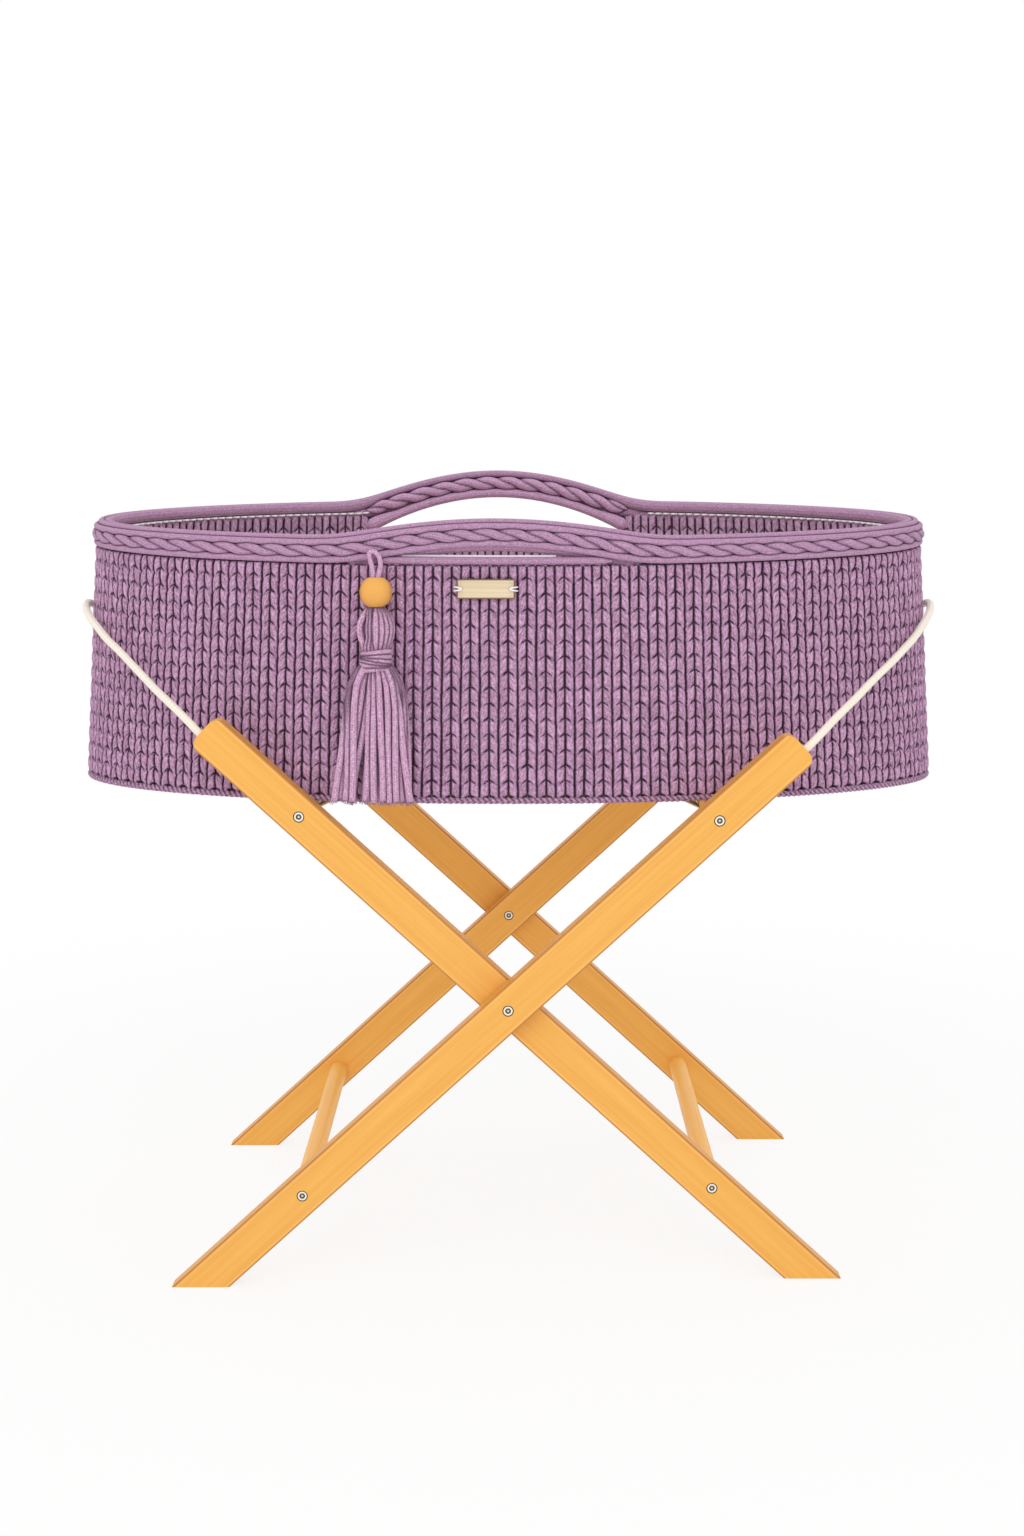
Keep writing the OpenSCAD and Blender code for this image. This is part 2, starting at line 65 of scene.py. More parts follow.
camera = bpy.data.objects.new("photo_camera", bpy.data.cameras.new("photo_camera"))
camera.data.lens = 47.04
camera.data.sensor_width = 36.0
camera.location = (0.0034, -1.9055, 0.7173)
camera.rotation_euler = (math.pi / 2 - camera_tilt, 0, 0)
scene.collection.objects.link(camera)
scene.camera = camera

# Carrying ropes
# Two lengths of 7 mm cream cotton cord, smooth and closely braided. Each runs from a hole in the top
# end of a front leg round the end of the basket to the hole in the rear leg, drawn taut.
rope_width = 0.007
rope_cream = (0.96, 0.90, 0.79)
rope_shade = (0.90, 0.80, 0.66)
rope_braid = 0.009
rope_threads = 3
leg_slope = math.radians(42.75)
rope_routes = {
    "right_rope": [
        (0.233, -0.200, 0.461), (0.244, -0.200, 0.471), (0.255, -0.200, 0.481), (0.263, -0.196, 0.488),
        (0.272, -0.187, 0.495), (0.283, -0.173, 0.503), (0.296, -0.158, 0.512), (0.309, -0.143, 0.521),
        (0.321, -0.129, 0.530), (0.334, -0.114, 0.539), (0.347, -0.100, 0.548), (0.359, -0.086, 0.557),
        (0.371, -0.071, 0.566), (0.381, -0.055, 0.575), (0.390, -0.038, 0.584), (0.396, -0.020, 0.591),
        (0.398, 0.000, 0.594), (0.396, 0.020, 0.591), (0.390, 0.038, 0.584), (0.381, 0.055, 0.575),
        (0.371, 0.071, 0.566), (0.359, 0.086, 0.557), (0.346, 0.099, 0.548), (0.332, 0.111, 0.538),
        (0.318, 0.123, 0.528), (0.304, 0.136, 0.518), (0.290, 0.149, 0.508), (0.278, 0.161, 0.499),
        (0.266, 0.173, 0.490), (0.255, 0.180, 0.481), (0.244, 0.180, 0.471), (0.233, 0.180, 0.461),
    ],
    "left_rope": [
        (-0.245, -0.180, 0.472), (-0.256, -0.180, 0.482), (-0.267, -0.180, 0.492), (-0.276, -0.174, 0.500),
        (-0.287, -0.162, 0.508), (-0.300, -0.148, 0.517), (-0.313, -0.134, 0.526), (-0.326, -0.120, 0.536),
        (-0.339, -0.106, 0.546), (-0.352, -0.092, 0.556), (-0.365, -0.078, 0.565), (-0.376, -0.063, 0.574),
        (-0.386, -0.047, 0.582), (-0.393, -0.031, 0.588), (-0.397, -0.015, 0.592), (-0.398, 0.000, 0.594),
        (-0.397, 0.015, 0.592), (-0.393, 0.031, 0.588), (-0.386, 0.047, 0.582), (-0.378, 0.062, 0.574),
        (-0.367, 0.077, 0.565), (-0.355, 0.091, 0.556), (-0.343, 0.105, 0.547), (-0.331, 0.120, 0.538),
        (-0.319, 0.135, 0.529), (-0.307, 0.150, 0.520), (-0.295, 0.165, 0.511), (-0.284, 0.180, 0.504),
        (-0.276, 0.193, 0.499), (-0.267, 0.200, 0.492), (-0.256, 0.200, 0.482), (-0.245, 0.200, 0.472),
    ],
}


class Shade:
    """One socket among a material's nodes. Arithmetic on it adds Math nodes beside it."""

    def __init__(self, tree, socket=None):
        self.tree = tree
        self.socket = socket

    def node(self, kind, settings=(), sockets=(), out=0):
        """Adds a node: its settings first, then a value or a link for each socket."""
        made = self.tree.nodes.new(kind)
        for name, value in dict(settings).items():
            setattr(made, name, value)
        for key, value in dict(sockets).items():
            if isinstance(value, Shade):
                self.tree.links.new(value.socket, made.inputs[key])
            elif isinstance(value, tuple) and made.inputs[key].type == "RGBA":
                made.inputs[key].default_value = (*value, 1.0)
            else:
                made.inputs[key].default_value = value
        return Shade(self.tree, made.outputs[out] if len(made.outputs) else None)

    def other(self, out):
        """Another output of the same node."""
        return Shade(self.tree, self.socket.node.outputs[out])

    def math(self, operation, *values):
        """A Math node on values, numbers or both."""
        return self.node("ShaderNodeMath", {"operation": operation}, enumerate(values))

    def __add__(self, value):
        return self.math("ADD", self, value)

    def __radd__(self, value):
        return self.math("ADD", value, self)

    def __sub__(self, value):
        return self.math("SUBTRACT", self, value)

    def __rsub__(self, value):
        return self.math("SUBTRACT", value, self)

    def __mul__(self, value):
        return self.math("MULTIPLY", self, value)

    def __rmul__(self, value):
        return self.math("MULTIPLY", value, self)

    def __abs__(self):
        return self.math("ABSOLUTE", self)

    def smooth(self, low, high):
        """0 up to low, 1 from high, and a soft step between."""
        return self.node(
            "ShaderNodeMapRange",
            {"interpolation_type": "SMOOTHSTEP"},
            {"Value": self, "From Min": low, "From Max": high},
        )

    def blend(self, first, second):
        """The first colour where this is 0, the second where it is 1."""
        return self.node("ShaderNodeMix", {"data_type": "RGBA"}, {0: self, 6: first, 7: second}, out=2)

    def far(self, other):
        """How far a point lies from where this and the other are both 0."""
        return self.math("SQRT", self * self + other * other)

    def parts(self):
        """The three numbers of a vector."""
        split = self.node("ShaderNodeSeparateXYZ", sockets={0: self})
        return split, split.other(1), split.other(2)

    def place(self):
        """Where a point of the object lies, in metres."""
        return self.node("ShaderNodeTexCoord", out=3)

    def chart(self):
        """Where a point lies on its piece's own UV map."""
        return self.node("ShaderNodeTexCoord", out=2)

    def noise(self, place, scale, detail):
        """Soft noise from 0 to 1, with about so many spots to each unit of the place."""
        return self.node("ShaderNodeTexNoise", sockets={"Vector": place, "Scale": scale, "Detail": detail})


def new_material(name):
    """An empty material and a Shade to hang its nodes on."""
    material = bpy.data.materials.new(name)
    material.use_nodes = True
    material.node_tree.nodes.clear()
    return material, Shade(material.node_tree)


def surface(nodes, colour, roughness, relief, depth, **fixed):
    """Closes a material: colour, roughness, a relief that is depth metres high, and fixed sockets."""
    bump = nodes.node("ShaderNodeBump", sockets={"Strength": 1.0, "Distance": depth, "Height": relief})
    sockets = {"Base Color": colour, "Roughness": roughness, "Normal": bump}
    sockets.update({name.replace("_", " "): value for name, value in fixed.items()})
    shader = nodes.node("ShaderNodeBsdfPrincipled", sockets=sockets)
    nodes.node("ShaderNodeOutputMaterial", sockets={"Surface": shader})


def smoothed(route, steps):
    """A smooth curve through the route's points, in so many steps from one point to the next."""
    points = np.array(route, float)
    guided = np.vstack([2 * points[0] - points[1], points, 2 * points[-1] - points[-2]])
    curve = []
    for a, b, c, d in zip(guided, guided[1:], guided[2:], guided[3:]):
        for s in np.arange(steps) / steps:
            bend = 2 * a - 5 * b + 4 * c - d + s * (3 * (b - c) + d - a)
            curve.append(b + 0.5 * s * (c - a + s * bend))
    return np.array(curve + [points[-1]])


def strand_mesh(name, routes, radius, corners=8, closed=False, swell=None):
    """Round strands along the routes as one mesh. UV x runs along a strand from 0 to 1, UV y round it."""
    curve = bpy.data.curves.new(name, "CURVE")
    curve.dimensions = "3D"
    curve.bevel_depth = radius
    curve.bevel_resolution = corners // 2 - 2
    curve.use_fill_caps = not closed
    for route in routes:
        spline = curve.splines.new("POLY")
        spline.points.add(len(route) - 1)
        spline.points.foreach_set("co", np.column_stack([route, np.ones(len(route))]).ravel())
        spline.use_cyclic_u = closed
        if swell is not None:
            spline.points.foreach_set("radius", swell)
    drawn = bpy.data.objects.new(name, curve)
    mesh = bpy.data.meshes.new_from_object(drawn)
    bpy.data.objects.remove(drawn)
    bpy.data.curves.remove(curve)
    shape = bmesh.new()
    shape.from_mesh(mesh)
    bmesh.ops.remove_doubles(shape, verts=shape.verts, dist=1e-6)
    shape.to_mesh(mesh)
    shape.free()
    return mesh


def add_piece(name, mesh, material):
    """Puts a mesh into the scene as a piece of the object, in one finish."""
    made = bpy.data.objects.new(name, mesh)
    mesh.materials.clear()
    mesh.materials.append(material)
    scene.collection.objects.link(made)
    return made


def hold(piece, body, slot, *nodes):
    """Puts a piece on its body in place of the frame's nodes; the slot is not used."""
    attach(piece, body)
    if nodes:
        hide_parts(*nodes)


def run_along(points):
    """How far along a line each of its points lies."""
    return np.concatenate([[0], np.cumsum(np.linalg.norm(np.diff(points, axis=0), axis=1))])


def route_length(points):
    """The whole length of a line."""
    return float(run_along(points)[-1])


def plaited(nodes, along, around):
    """Threads that climb round a cord, crossed by threads that fall, from -1 to 1."""
    climb = nodes.math("SINE", (along + around) * math.tau)
    fall = nodes.math("SINE", (along - around) * math.tau)
    return climb * fall


rope_paths = {name: smoothed(route, 6) for name, route in rope_routes.items()}
rope_cotton, nodes = new_material("rope_cotton")
along, around, _ = nodes.chart().parts()
braids = route_length(rope_paths["right_rope"]) / rope_braid
plait = plaited(nodes, along * braids, around * rope_threads)
fuzz = nodes.noise(nodes.place(), 900.0, 3.0)
tint = (plait * 0.25 + fuzz * 0.9).smooth(0.1, 0.7)
surface(nodes, tint.blend(rope_shade, rope_cream), 0.85, plait * 0.6 + fuzz * 0.4, 0.0004,
        Sheen_Weight=0.25, Specular_IOR_Level=0.2)
for name, body, lean in (("right_rope", "right_frame", 1), ("left_rope", "left_frame", -1)):
    path = rope_paths[name]
    rope = add_piece(name + "_cord", strand_mesh(name + "_cord", [path], rope_width / 2, 16), rope_cotton)
    hold(rope, body, "rope", name)
    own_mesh(rope)

# Legs and rods
# Planed softwood battens and round rods, stained a warm honey yellow and finished with satin varnish.
# The grain runs along each piece; the eased edges of the battens carry painted shade and a painted
# highlight.
stain_light = (0.91, 0.475, 0.100)
stain_deep = (0.84, 0.400, 0.072)
flank_painted_shade = (0.74, 0.335, 0.070)
edge_stain_and_painted_shade = (0.46, 0.165, 0.026)
bevel_painted_highlight = (0.98, 0.560, 0.170)
rod_light = (0.98, 0.560, 0.140)
rod_deep = (0.94, 0.490, 0.104)
leg_half_width = 0.0175
leg_half_thick = 0.009
pivot_height = 0.2525


def reach(nodes, place, axis):
    """How far a place lies along an axis."""
    return nodes.node("ShaderNodeVectorMath", {"operation": "DOT_PRODUCT"}, {0: place, 1: axis}, out=1)


def grain_of(nodes, run, across, depth):
    """Fine grain, drawn out along the run of the wood, from 0 to 1."""
    fine = nodes.node("ShaderNodeCombineXYZ", sockets={0: run * 9, 1: across * 420, 2: depth * 420})
    wide = nodes.node("ShaderNodeCombineXYZ", sockets={0: run * 3, 1: across * 60, 2: depth * 60})
    lines = nodes.noise(fine, 1.0, 4.0).smooth(0.3, 0.7)
    bands = nodes.noise(wide, 1.0, 2.0).smooth(0.3, 0.7)
    return lines * 0.6 + bands * 0.4


def leg_wood(name, lean, middle):
    """Stained wood for a leg that leans right (1) or left (-1), with its middle at that y."""
    material, nodes = new_material(name)
    place = nodes.place()
    side = (-lean * math.sin(leg_slope), 0, math.cos(leg_slope))
    run = reach(nodes, place, (lean * math.cos(leg_slope), 0, math.sin(leg_slope)))
    across = reach(nodes, place, side) - pivot_height * side[2]
    depth = reach(nodes, place, (0, 1, 0)) - middle
    grain = grain_of(nodes, run, across, depth)
    out = abs(across)
    back = abs(depth)
    # The side faces are darkened as painted shade, and the outer rounding gets a dark outline that is
    # partly stain and partly painted shade.
    flank = out.smooth(leg_half_width - 0.0010, leg_half_width - 0.0002)
    eased = out.smooth(leg_half_width - 0.0024, leg_half_width - 0.0008)
    edge = eased * back.smooth(leg_half_thick - 0.0022, leg_half_thick - 0.0006)
    # A lighter strip beside the rounding is a painted highlight.
    bevel_highlight = out.smooth(leg_half_width - 0.0044, leg_half_width - 0.0026) * (1 - eased)
    colour = grain.blend(stain_deep, stain_light)
    colour = (bevel_highlight * 0.5).blend(colour, bevel_painted_highlight)
    colour = (flank * 0.7).blend(colour, flank_painted_shade)
    colour = (edge * 0.75).blend(colour, edge_stain_and_painted_shade)
    surface(nodes, colour, 0.48 - grain * 0.08, grain, 0.00012, Specular_IOR_Level=0.35)
    return material


def rod_wood(name):
    """Stained wood for a rod, whose grain runs from front to rear."""
    material, nodes = new_material(name)
    x, y, z = nodes.place().parts()
    grain = grain_of(nodes, y, x, z)
    surface(nodes, grain.blend(rod_deep, rod_light), 0.48 - grain * 0.08, grain, 0.00012,
            Specular_IOR_Level=0.35)
    return material


def middle_of(node, axis):
    """The middle of a node's box along x (0), y (1) or z (2)."""
    low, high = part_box(node)
    return (low[axis] + high[axis]) / 2


def dress(node, material):
    """Gives a piece that is carried over from the frame its finish."""
    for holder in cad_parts[node].material_slots:
        holder.material = material


rod_finish = rod_wood("stained_rod")
for frame_name, lean in (("right_frame", 1), ("left_frame", -1)):
    for leg in (f"{frame_name}_front_leg", f"{frame_name}_rear_leg"):
        dress(leg, leg_wood("stained_" + leg, lean, middle_of(leg, 1)))
    dress(f"{frame_name}_top_rod", rod_finish)
    dress(f"{frame_name}_bottom_rod", rod_finish)

# Bolts and pivots
# Zinc-plated button bolts with a pinned hex socket at every rod end, turned into threaded inserts, and
# a sleeve nut, screw and washer at each crossing. Painted shade darkens the socket and the ring round a
# head.
zinc_bright = (0.96, 0.95, 0.91)
zinc_dull = (0.84, 0.83, 0.78)
socket_painted_shade = (0.030, 0.018, 0.010)
head_gap_painted_shade = (0.060, 0.022, 0.008)
pin_brass = (0.50, 0.36, 0.13)
pin_bright = (0.90, 0.86, 0.74)
head_radius = 0.0046
socket_radius = 0.0026
pin_radius = 0.0016
dot_radius = 0.0007
rod_x = middle_of("right_frame_top_rod", 0)
rod_top = middle_of("right_frame_top_rod", 2)
rod_low = middle_of("right_frame_bottom_rod", 2)


def bolt_steel(name, centres):
    """Zinc plate for bolts on these centres, seen from the front, with a brass pin and painted shade in the
    socket and round the head.
    """
    material, nodes = new_material(name)
    place = nodes.place()
    x, _, z = place.parts()
    nearest = None
    for centre_x, centre_z in centres:
        far = (x - centre_x).far(z - centre_z)
        nearest = far if nearest is None else nodes.math("MINIMUM", nearest, far)
    brushed = nodes.noise(place, 2500.0, 2.0)
    # The ring at the head's edge and the socket are dark as painted shade.
    ring = nearest.smooth(head_radius - 0.0008, head_radius - 0.0004)
    well = 1 - nearest.smooth(socket_radius - 0.0003, socket_radius + 0.0001)
    pin = 1 - nearest.smooth(pin_radius - 0.0002, pin_radius + 0.0001)
    dot = 1 - nearest.smooth(dot_radius - 0.0002, dot_radius + 0.0001)
    colour = brushed.blend(zinc_dull, zinc_bright)
    colour = well.blend(colour, socket_painted_shade)
    colour = pin.blend(colour, pin_brass)
    colour = dot.blend(colour, pin_bright)
    colour = ring.blend(colour, head_gap_painted_shade)
    surface(nodes, colour, 0.28 + brushed * 0.15 + ring * 0.4, brushed, 0.00003,
            Metallic=0.6 - well * 0.5 - ring * 0.6 + pin * 0.3)
    return material


plated = bolt_steel("zinc_pivot", [(0.0, pivot_height)])
for frame_name, lean in (("right_frame", 1), ("left_frame", -1)):
    steel = bolt_steel("zinc_" + frame_name, [(lean * rod_x, rod_top), (-lean * rod_x, rod_low)])
    dress(frame_name + "_bolts", steel)
    dress(frame_name + "_inserts", steel)
for end in ("front", "rear"):
    for fitting in ("sleeve", "screw", "washer"):
        dress(f"{end}_pivot_{fitting}", plated)

# Straps
# Two bands of natural cotton webbing, 30 mm wide, that stop the legs from spreading. Each end goes over
# its top rod, round below it and back up under the band, where it is sewn down.
strap_thick = 0.0014
strap_loop = 0.0100
strap_tail = 0.036
strap_gap = 0.0003
webbing_light = (0.80, 0.74, 0.62)
webbing_dark = (0.62, 0.54, 0.42)
loop_angles = np.radians(np.arange(90, -151, -12))
rod_loop = [(rod_x + strap_loop * math.cos(a), rod_top + strap_loop * math.sin(a)) for a in loop_angles]
tail_end = (rod_x - strap_tail, rod_top + strap_loop - strap_thick - strap_gap)
strap_line = [(-x, z) for x, z in (tail_end, *rod_loop[::-1])]
strap_line += [(x, rod_top + strap_loop) for x in np.linspace(-rod_x, rod_x, 25)[1:-1]]
strap_line += [*rod_loop, tail_end]


def mesh_of(shape, name):
    """Turns a bmesh into a smooth mesh and frees it."""
    mesh = bpy.data.meshes.new(name)
    shape.to_mesh(mesh)
    shape.free()
    mesh.shade_smooth()
    return mesh


webbing, nodes = new_material("cotton_webbing")
x, y, z = nodes.place().parts()
warp = nodes.math("SINE", (y * 900 + x * 250) * math.tau)
weft = nodes.math("SINE", (x * 420 + z * 420) * math.tau)
weave = (warp * weft).smooth(-1.0, 1.0)
surface(nodes, weave.blend(webbing_dark, webbing_light), 0.9, weave, 0.0003, Sheen_Weight=0.2)
for end in ("front", "rear"):
    low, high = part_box(end + "_strap")
    shape = bmesh.new()
    first = [shape.verts.new((strap_line[0][0], y, strap_line[0][1])) for y in (low.y, high.y)]
    edge = shape.edges.new(first)
    for x, z in strap_line[1:]:
        grown = bmesh.ops.extrude_edge_only(shape, edges=[edge])["geom"]
        edge = next(item for item in grown if isinstance(item, bmesh.types.BMEdge))
        for vert in edge.verts:
            vert.co.x = x
            vert.co.z = z
    bmesh.ops.recalc_face_normals(shape, faces=shape.faces)
    strap = add_piece(end + "_webbing", mesh_of(shape, end + "_webbing"), webbing)
    cloth = strap.modifiers.new("cloth_thickness", "SOLIDIFY")
    cloth.thickness = strap_thick
    cloth.offset = 0.0
    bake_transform(strap)
    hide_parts(end + "_strap")

# Base board
# A 7 mm oval of birch plywood that keeps the basket's floor flat, with the knitted wall standing round it.
# It is sanded and left plain, with the grain along the basket.
birch_light = (0.80, 0.62, 0.42)
birch_dark = (0.66, 0.47, 0.28)
birch, nodes = new_material("birch_board")
grain = grain_of(nodes, *nodes.place().parts())
surface(nodes, grain.blend(birch_dark, birch_light), 0.6, grain, 0.0001)
dress("base_board", birch)

# Knitted wall
# A thick cotton yarn worked in the round: every stitch is two plump halves that lean together, in rows
# one above the other. The inside shows the same face in colours painted lighter as painted light, and a
# stiff felt lining in a dark colour of painted shade stands between the two.
wall_low, wall_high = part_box("basket_wall")
base_half = (wall_high.x, wall_high.y)
rim_half = (0.388, 0.177)
wall_base = wall_low.z
rim_middle = 0.650753
rim_tilt = 0.0135
wall_thick = 0.014
handle_middle = -0.012
slot_reach = 0.130
arch_easing = (-0.018, -0.009, 0.0, 0.009, 0.018)
rear_dip = 0.012
dip_slope = 5.0
stitches = 114
rows = 15
half_deep = 0.0043
half_wide = 0.53
half_tall = 0.64
lean_rise = 0.40
lean_out = 0.0013
drift_wave = 0.02
uneven_drift = 0.014
uneven_sway = 0.022
uneven_plump = 0.025
uneven_tone = 0.16
inner_rise = 0.0120
foot_drop = 0.0048
yarn_light = (0.930, 0.560, 0.840)
yarn_mid = (0.310, 0.152, 0.268)
crease_painted_shade = (0.042, 0.007, 0.033)
# The inside yarn is the same cotton in colours painted lighter, as painted light inside the basket.
inner_painted_light = (0.960, 0.640, 0.900)
inner_painted_mid = (0.420, 0.212, 0.368)
yarn_fibre = 800.0
lining_gap = 0.0055
lining_thick = 0.003
lining_drop = 0.002
lining_share = 0.6
lobes = 2 * stitches
turn_table = np.linspace(-math.pi, math.pi, 4001)
mean_half = [(base_half[k] + rim_half[k]) / 2 for k in (0, 1)]
oval = np.column_stack([mean_half[0] * np.cos(turn_table), mean_half[1] * np.sin(turn_table)])
arc_table = run_along(oval) / route_length(oval)


def turn_at(share):
    """The angle of the oval at a share of the way round, from the left end past the front."""
    return np.interp(np.mod(share, 1.0), arc_table, turn_table)


def soft_step(value, low, high):
    """0 up to low, 1 from high, and a soft step between."""
    share = np.clip((value - low) / (high - low), 0, 1)
    return share * share * (3 - 2 * share)


def arch(turn, span):
    """The rise of a handle from 0 to 1, over a span that reaches so far to each side of its middle."""
    offset = rim_half[0] * np.cos(turn) - handle_middle
    eased = [np.maximum(0, 1 - ((offset + shift) / span) ** 2) ** 1.25 for shift in arch_easing]
    return sum(eased) / len(eased)


def rim_level(turn):
    """Height of the rim, which is lowest at the front."""
    return rim_middle + rim_tilt * np.sin(turn)


def wall_edge(turn):
    """Height of the wall's top edge, which sinks under the rear handle."""
    sunk = np.minimum(1, dip_slope * arch(turn, slot_reach)) * (np.sin(turn) > 0)
    return rim_level(turn) - rear_dip * sunk


def inner_edge(turn):
    """Height of the topmost inner stitches, which stand behind the rim but stop under a handle."""
    offset = np.abs(rim_half[0] * np.cos(turn) - handle_middle)
    return wall_edge(turn) + inner_rise * soft_step(offset, slot_reach - 0.006, slot_reach + 0.004)


def outward(turn, half):
    """The level direction straight out from an oval."""
    normal = np.column_stack([np.cos(turn) / half[0], np.sin(turn) / half[1], np.zeros_like(turn)])
    return normal / np.linalg.norm(normal, axis=1)[:, None]


def on_wall_face(turn, rise, out, foot, top):
    """Points at that share of the way from the foot to the top, so far out from the wall's outer face."""
    flare = np.column_stack([base_half[k] + (rim_half[k] - base_half[k]) * rise for k in (0, 1)])
    height = foot + (rim_level(turn) - foot) * rise + (top(turn) - rim_level(turn)) * rise ** 3
    face = np.column_stack([flare[:, 0] * np.cos(turn), flare[:, 1] * np.sin(turn), height])
    return face + outward(turn, flare.T) * out[:, None]


def half_stitch():
    """A plump half stitch, one lobe wide and a little over one row tall, with a UV map across and up it."""
    shape = bmesh.new()
    bmesh.ops.create_uvsphere(shape, u_segments=10, v_segments=6, radius=1.0)
    for vert in shape.verts:
        level = min(abs(vert.co.z), 1.0) ** 0.86
        ring = max(math.hypot(vert.co.x, vert.co.y), 1e-6)
        wide = abs(vert.co.x / ring) ** 0.8 * (1 - level ** 4) ** 0.25 * half_wide
        deep = abs(vert.co.y / ring) ** 0.8 * (1 - level ** 2.4) ** 0.5 * half_deep
        vert.co.x = math.copysign(wide, vert.co.x)
        vert.co.y = math.copysign(deep, vert.co.y)
        vert.co.z = math.copysign(level * half_tall, vert.co.z)
    charted = shape.loops.layers.uv.new("UVMap")
    for face in shape.faces:
        for corner in face.loops:
            corner[charted].uv = (corner.vert.co.x, corner.vert.co.z)
    return mesh_of(shape, "half_stitch")


def repeated(mesh, across, up):
    """So many copies of a mesh side by side in each of so many rows."""
    tile = bpy.data.objects.new("tile", mesh)
    scene.collection.objects.link(tile)
    for count, step in ((across, (1, 0, 0)), (up, (0, 0, 1))):
        array = tile.modifiers.new("copies", "ARRAY")
        array.count = count
        array.use_relative_offset = False
        array.use_constant_offset = True
        array.constant_offset_displace = step
    made = bpy.data.meshes.new_from_object(tile.evaluated_get(bpy.context.evaluated_depsgraph_get()))
    bpy.data.objects.remove(tile)
    return made


def knitted(name, first, facing, top, seed):
    """Half the wall's stitches from lobe number first on, on its outer (1) or inner (-1) face."""
    lobe = half_stitch()
    corners = len(lobe.loops)
    x, y, z = np.array([vert.co for vert in lobe.vertices]).T
    cloth = repeated(lobe, stitches, rows)
    cloth.name = name
    draw = np.random.default_rng(seed)
    place = np.arange(rows * stitches)
    row = (place // stitches)[:, None]
    column = (place % stitches)[:, None]
    towards = np.where(column % 2 == 0, 1.0, -1.0)
    drift = drift_wave * np.sin(row * 0.9 + column * 0.37) + draw.normal(0, uneven_drift, row.shape)
    sway = draw.normal(0, uneven_sway, row.shape)
    plump = draw.normal(1.0, uneven_plump, row.shape)
    tone = draw.normal(0.5, uneven_tone, row.shape)
    meet = towards * x
    end = ((row == 0) & (z < 0)) | ((row == rows - 1) & (z > 0))
    height = np.where(end, z * 0.5 / half_tall, z)
    slant = lean_rise * meet * np.where(end, 1 - 0.85 * np.abs(z) / half_tall, 1.0)
    sway = sway * np.where(end, 0.3, 1.0)
    tip = lean_out * z / half_tall * soft_step(meet, -0.35, 0.15)
    across = first + column + 0.5 + drift + facing * x * plump
    rise = (row + 0.5 + height + slant + sway) / rows
    middle = -half_deep if facing > 0 else half_deep - wall_thick
    out = middle + facing * (tip - y * plump)
    foot = wall_base - foot_drop if facing > 0 else wall_base
    points = on_wall_face(turn_at(across.ravel() / lobes), rise.ravel(), out.ravel(), foot, top)
    cloth.vertices.foreach_set("co", points.astype(np.float32).ravel())
    charted = np.empty(2 * len(cloth.loops), np.float32)
    cloth.uv_layers[0].data.foreach_get("uv", charted)
    charted = charted.reshape(-1, corners, 2)
    charted[:, :, 0] *= towards
    cloth.uv_layers[0].data.foreach_set("uv", charted.ravel())
    shade = cloth.attributes.new("tone", "FLOAT", "POINT")
    shade.data.foreach_set("value", np.repeat(tone, len(x)).astype(np.float32))
    cloth.update()
    return cloth


def knit_yarn(name, light, mid):
    """Mauve cotton for the half stitches: slanting flecks, and painted shade in the creases where the
    halves meet.
    """
    material, nodes = new_material(name)
    across, up, _ = nodes.chart().parts()
    tone = nodes.node("ShaderNodeAttribute", {"attribute_name": "tone"}, out=2)
    strewn = nodes.node(
        "ShaderNodeCombineXYZ",
        sockets={0: across * 2.2 + up * 3.2, 1: up * 6.0 - across * 5.0, 2: tone * 40},
    )
    fleck = nodes.noise(strewn, 1.0, 3.0)
    fibre = nodes.noise(nodes.place(), yarn_fibre, 3.0)
    yarn = fleck.smooth(0.36, 0.64) * 0.6 + fibre.smooth(0.35, 0.65) * 0.4
    ragged = fibre * 0.3 - 0.15
    # Painted shade: each half darkens at its sides, top and foot, where it meets its neighbours.
    side = (abs(across) + ragged).smooth(0.30, 0.44)
    meeting = across.smooth(-0.30, 0.10)
    top = (up + ragged).smooth(0.45, 0.56)
    foot = (ragged - up).smooth(0.30, 0.42)
    crease = nodes.math("MAXIMUM", side, nodes.math("MAXIMUM", top, foot) * meeting)
    colour = (yarn * 0.85 + tone * 0.3 - 0.1).blend(mid, light)
    colour = (crease * 0.96).blend(colour, crease_painted_shade)
    surface(nodes, colour, 0.9, yarn, 0.0010, Sheen_Weight=0.1, Specular_IOR_Level=0.15)
    return material


outer_knit = knit_yarn("mauve_knit", yarn_light, yarn_mid)
inner_knit_lightened = knit_yarn("mauve_knit_inside_lightened", inner_painted_light, inner_painted_mid)
wall_faces = (("outside", 1, wall_edge, outer_knit), ("inside", -1, inner_edge, inner_knit_lightened))
for side, start in (("front", 0), ("rear", stitches)):
    for face, facing, top, finish in wall_faces:
        cloth = knitted(f"{side}_wall_{face}", start, facing, top, 11 + start + facing)
        hold(add_piece(cloth.name, cloth, finish), "basket", "knit_yarn", "basket_wall")

shape = bmesh.new()
bmesh.ops.create_circle(shape, segments=192, radius=1.0)
raised = bmesh.ops.extrude_edge_only(shape, edges=shape.edges[:])["geom"]
raised = {item for item in raised if isinstance(item, bmesh.types.BMVert)}
for vert in shape.verts:
    turn = math.atan2(vert.co.y, vert.co.x)
    half = base_half
    vert.co.z = wall_base
    if vert in raised:
        half = rim_half
        vert.co.z = (1 - lining_share) * wall_edge(turn) + lining_share * inner_edge(turn) - lining_drop
    vert.co.x = (half[0] - lining_gap) * math.cos(turn)
    vert.co.y = (half[1] - lining_gap) * math.sin(turn)
bmesh.ops.recalc_face_normals(shape, faces=shape.faces)
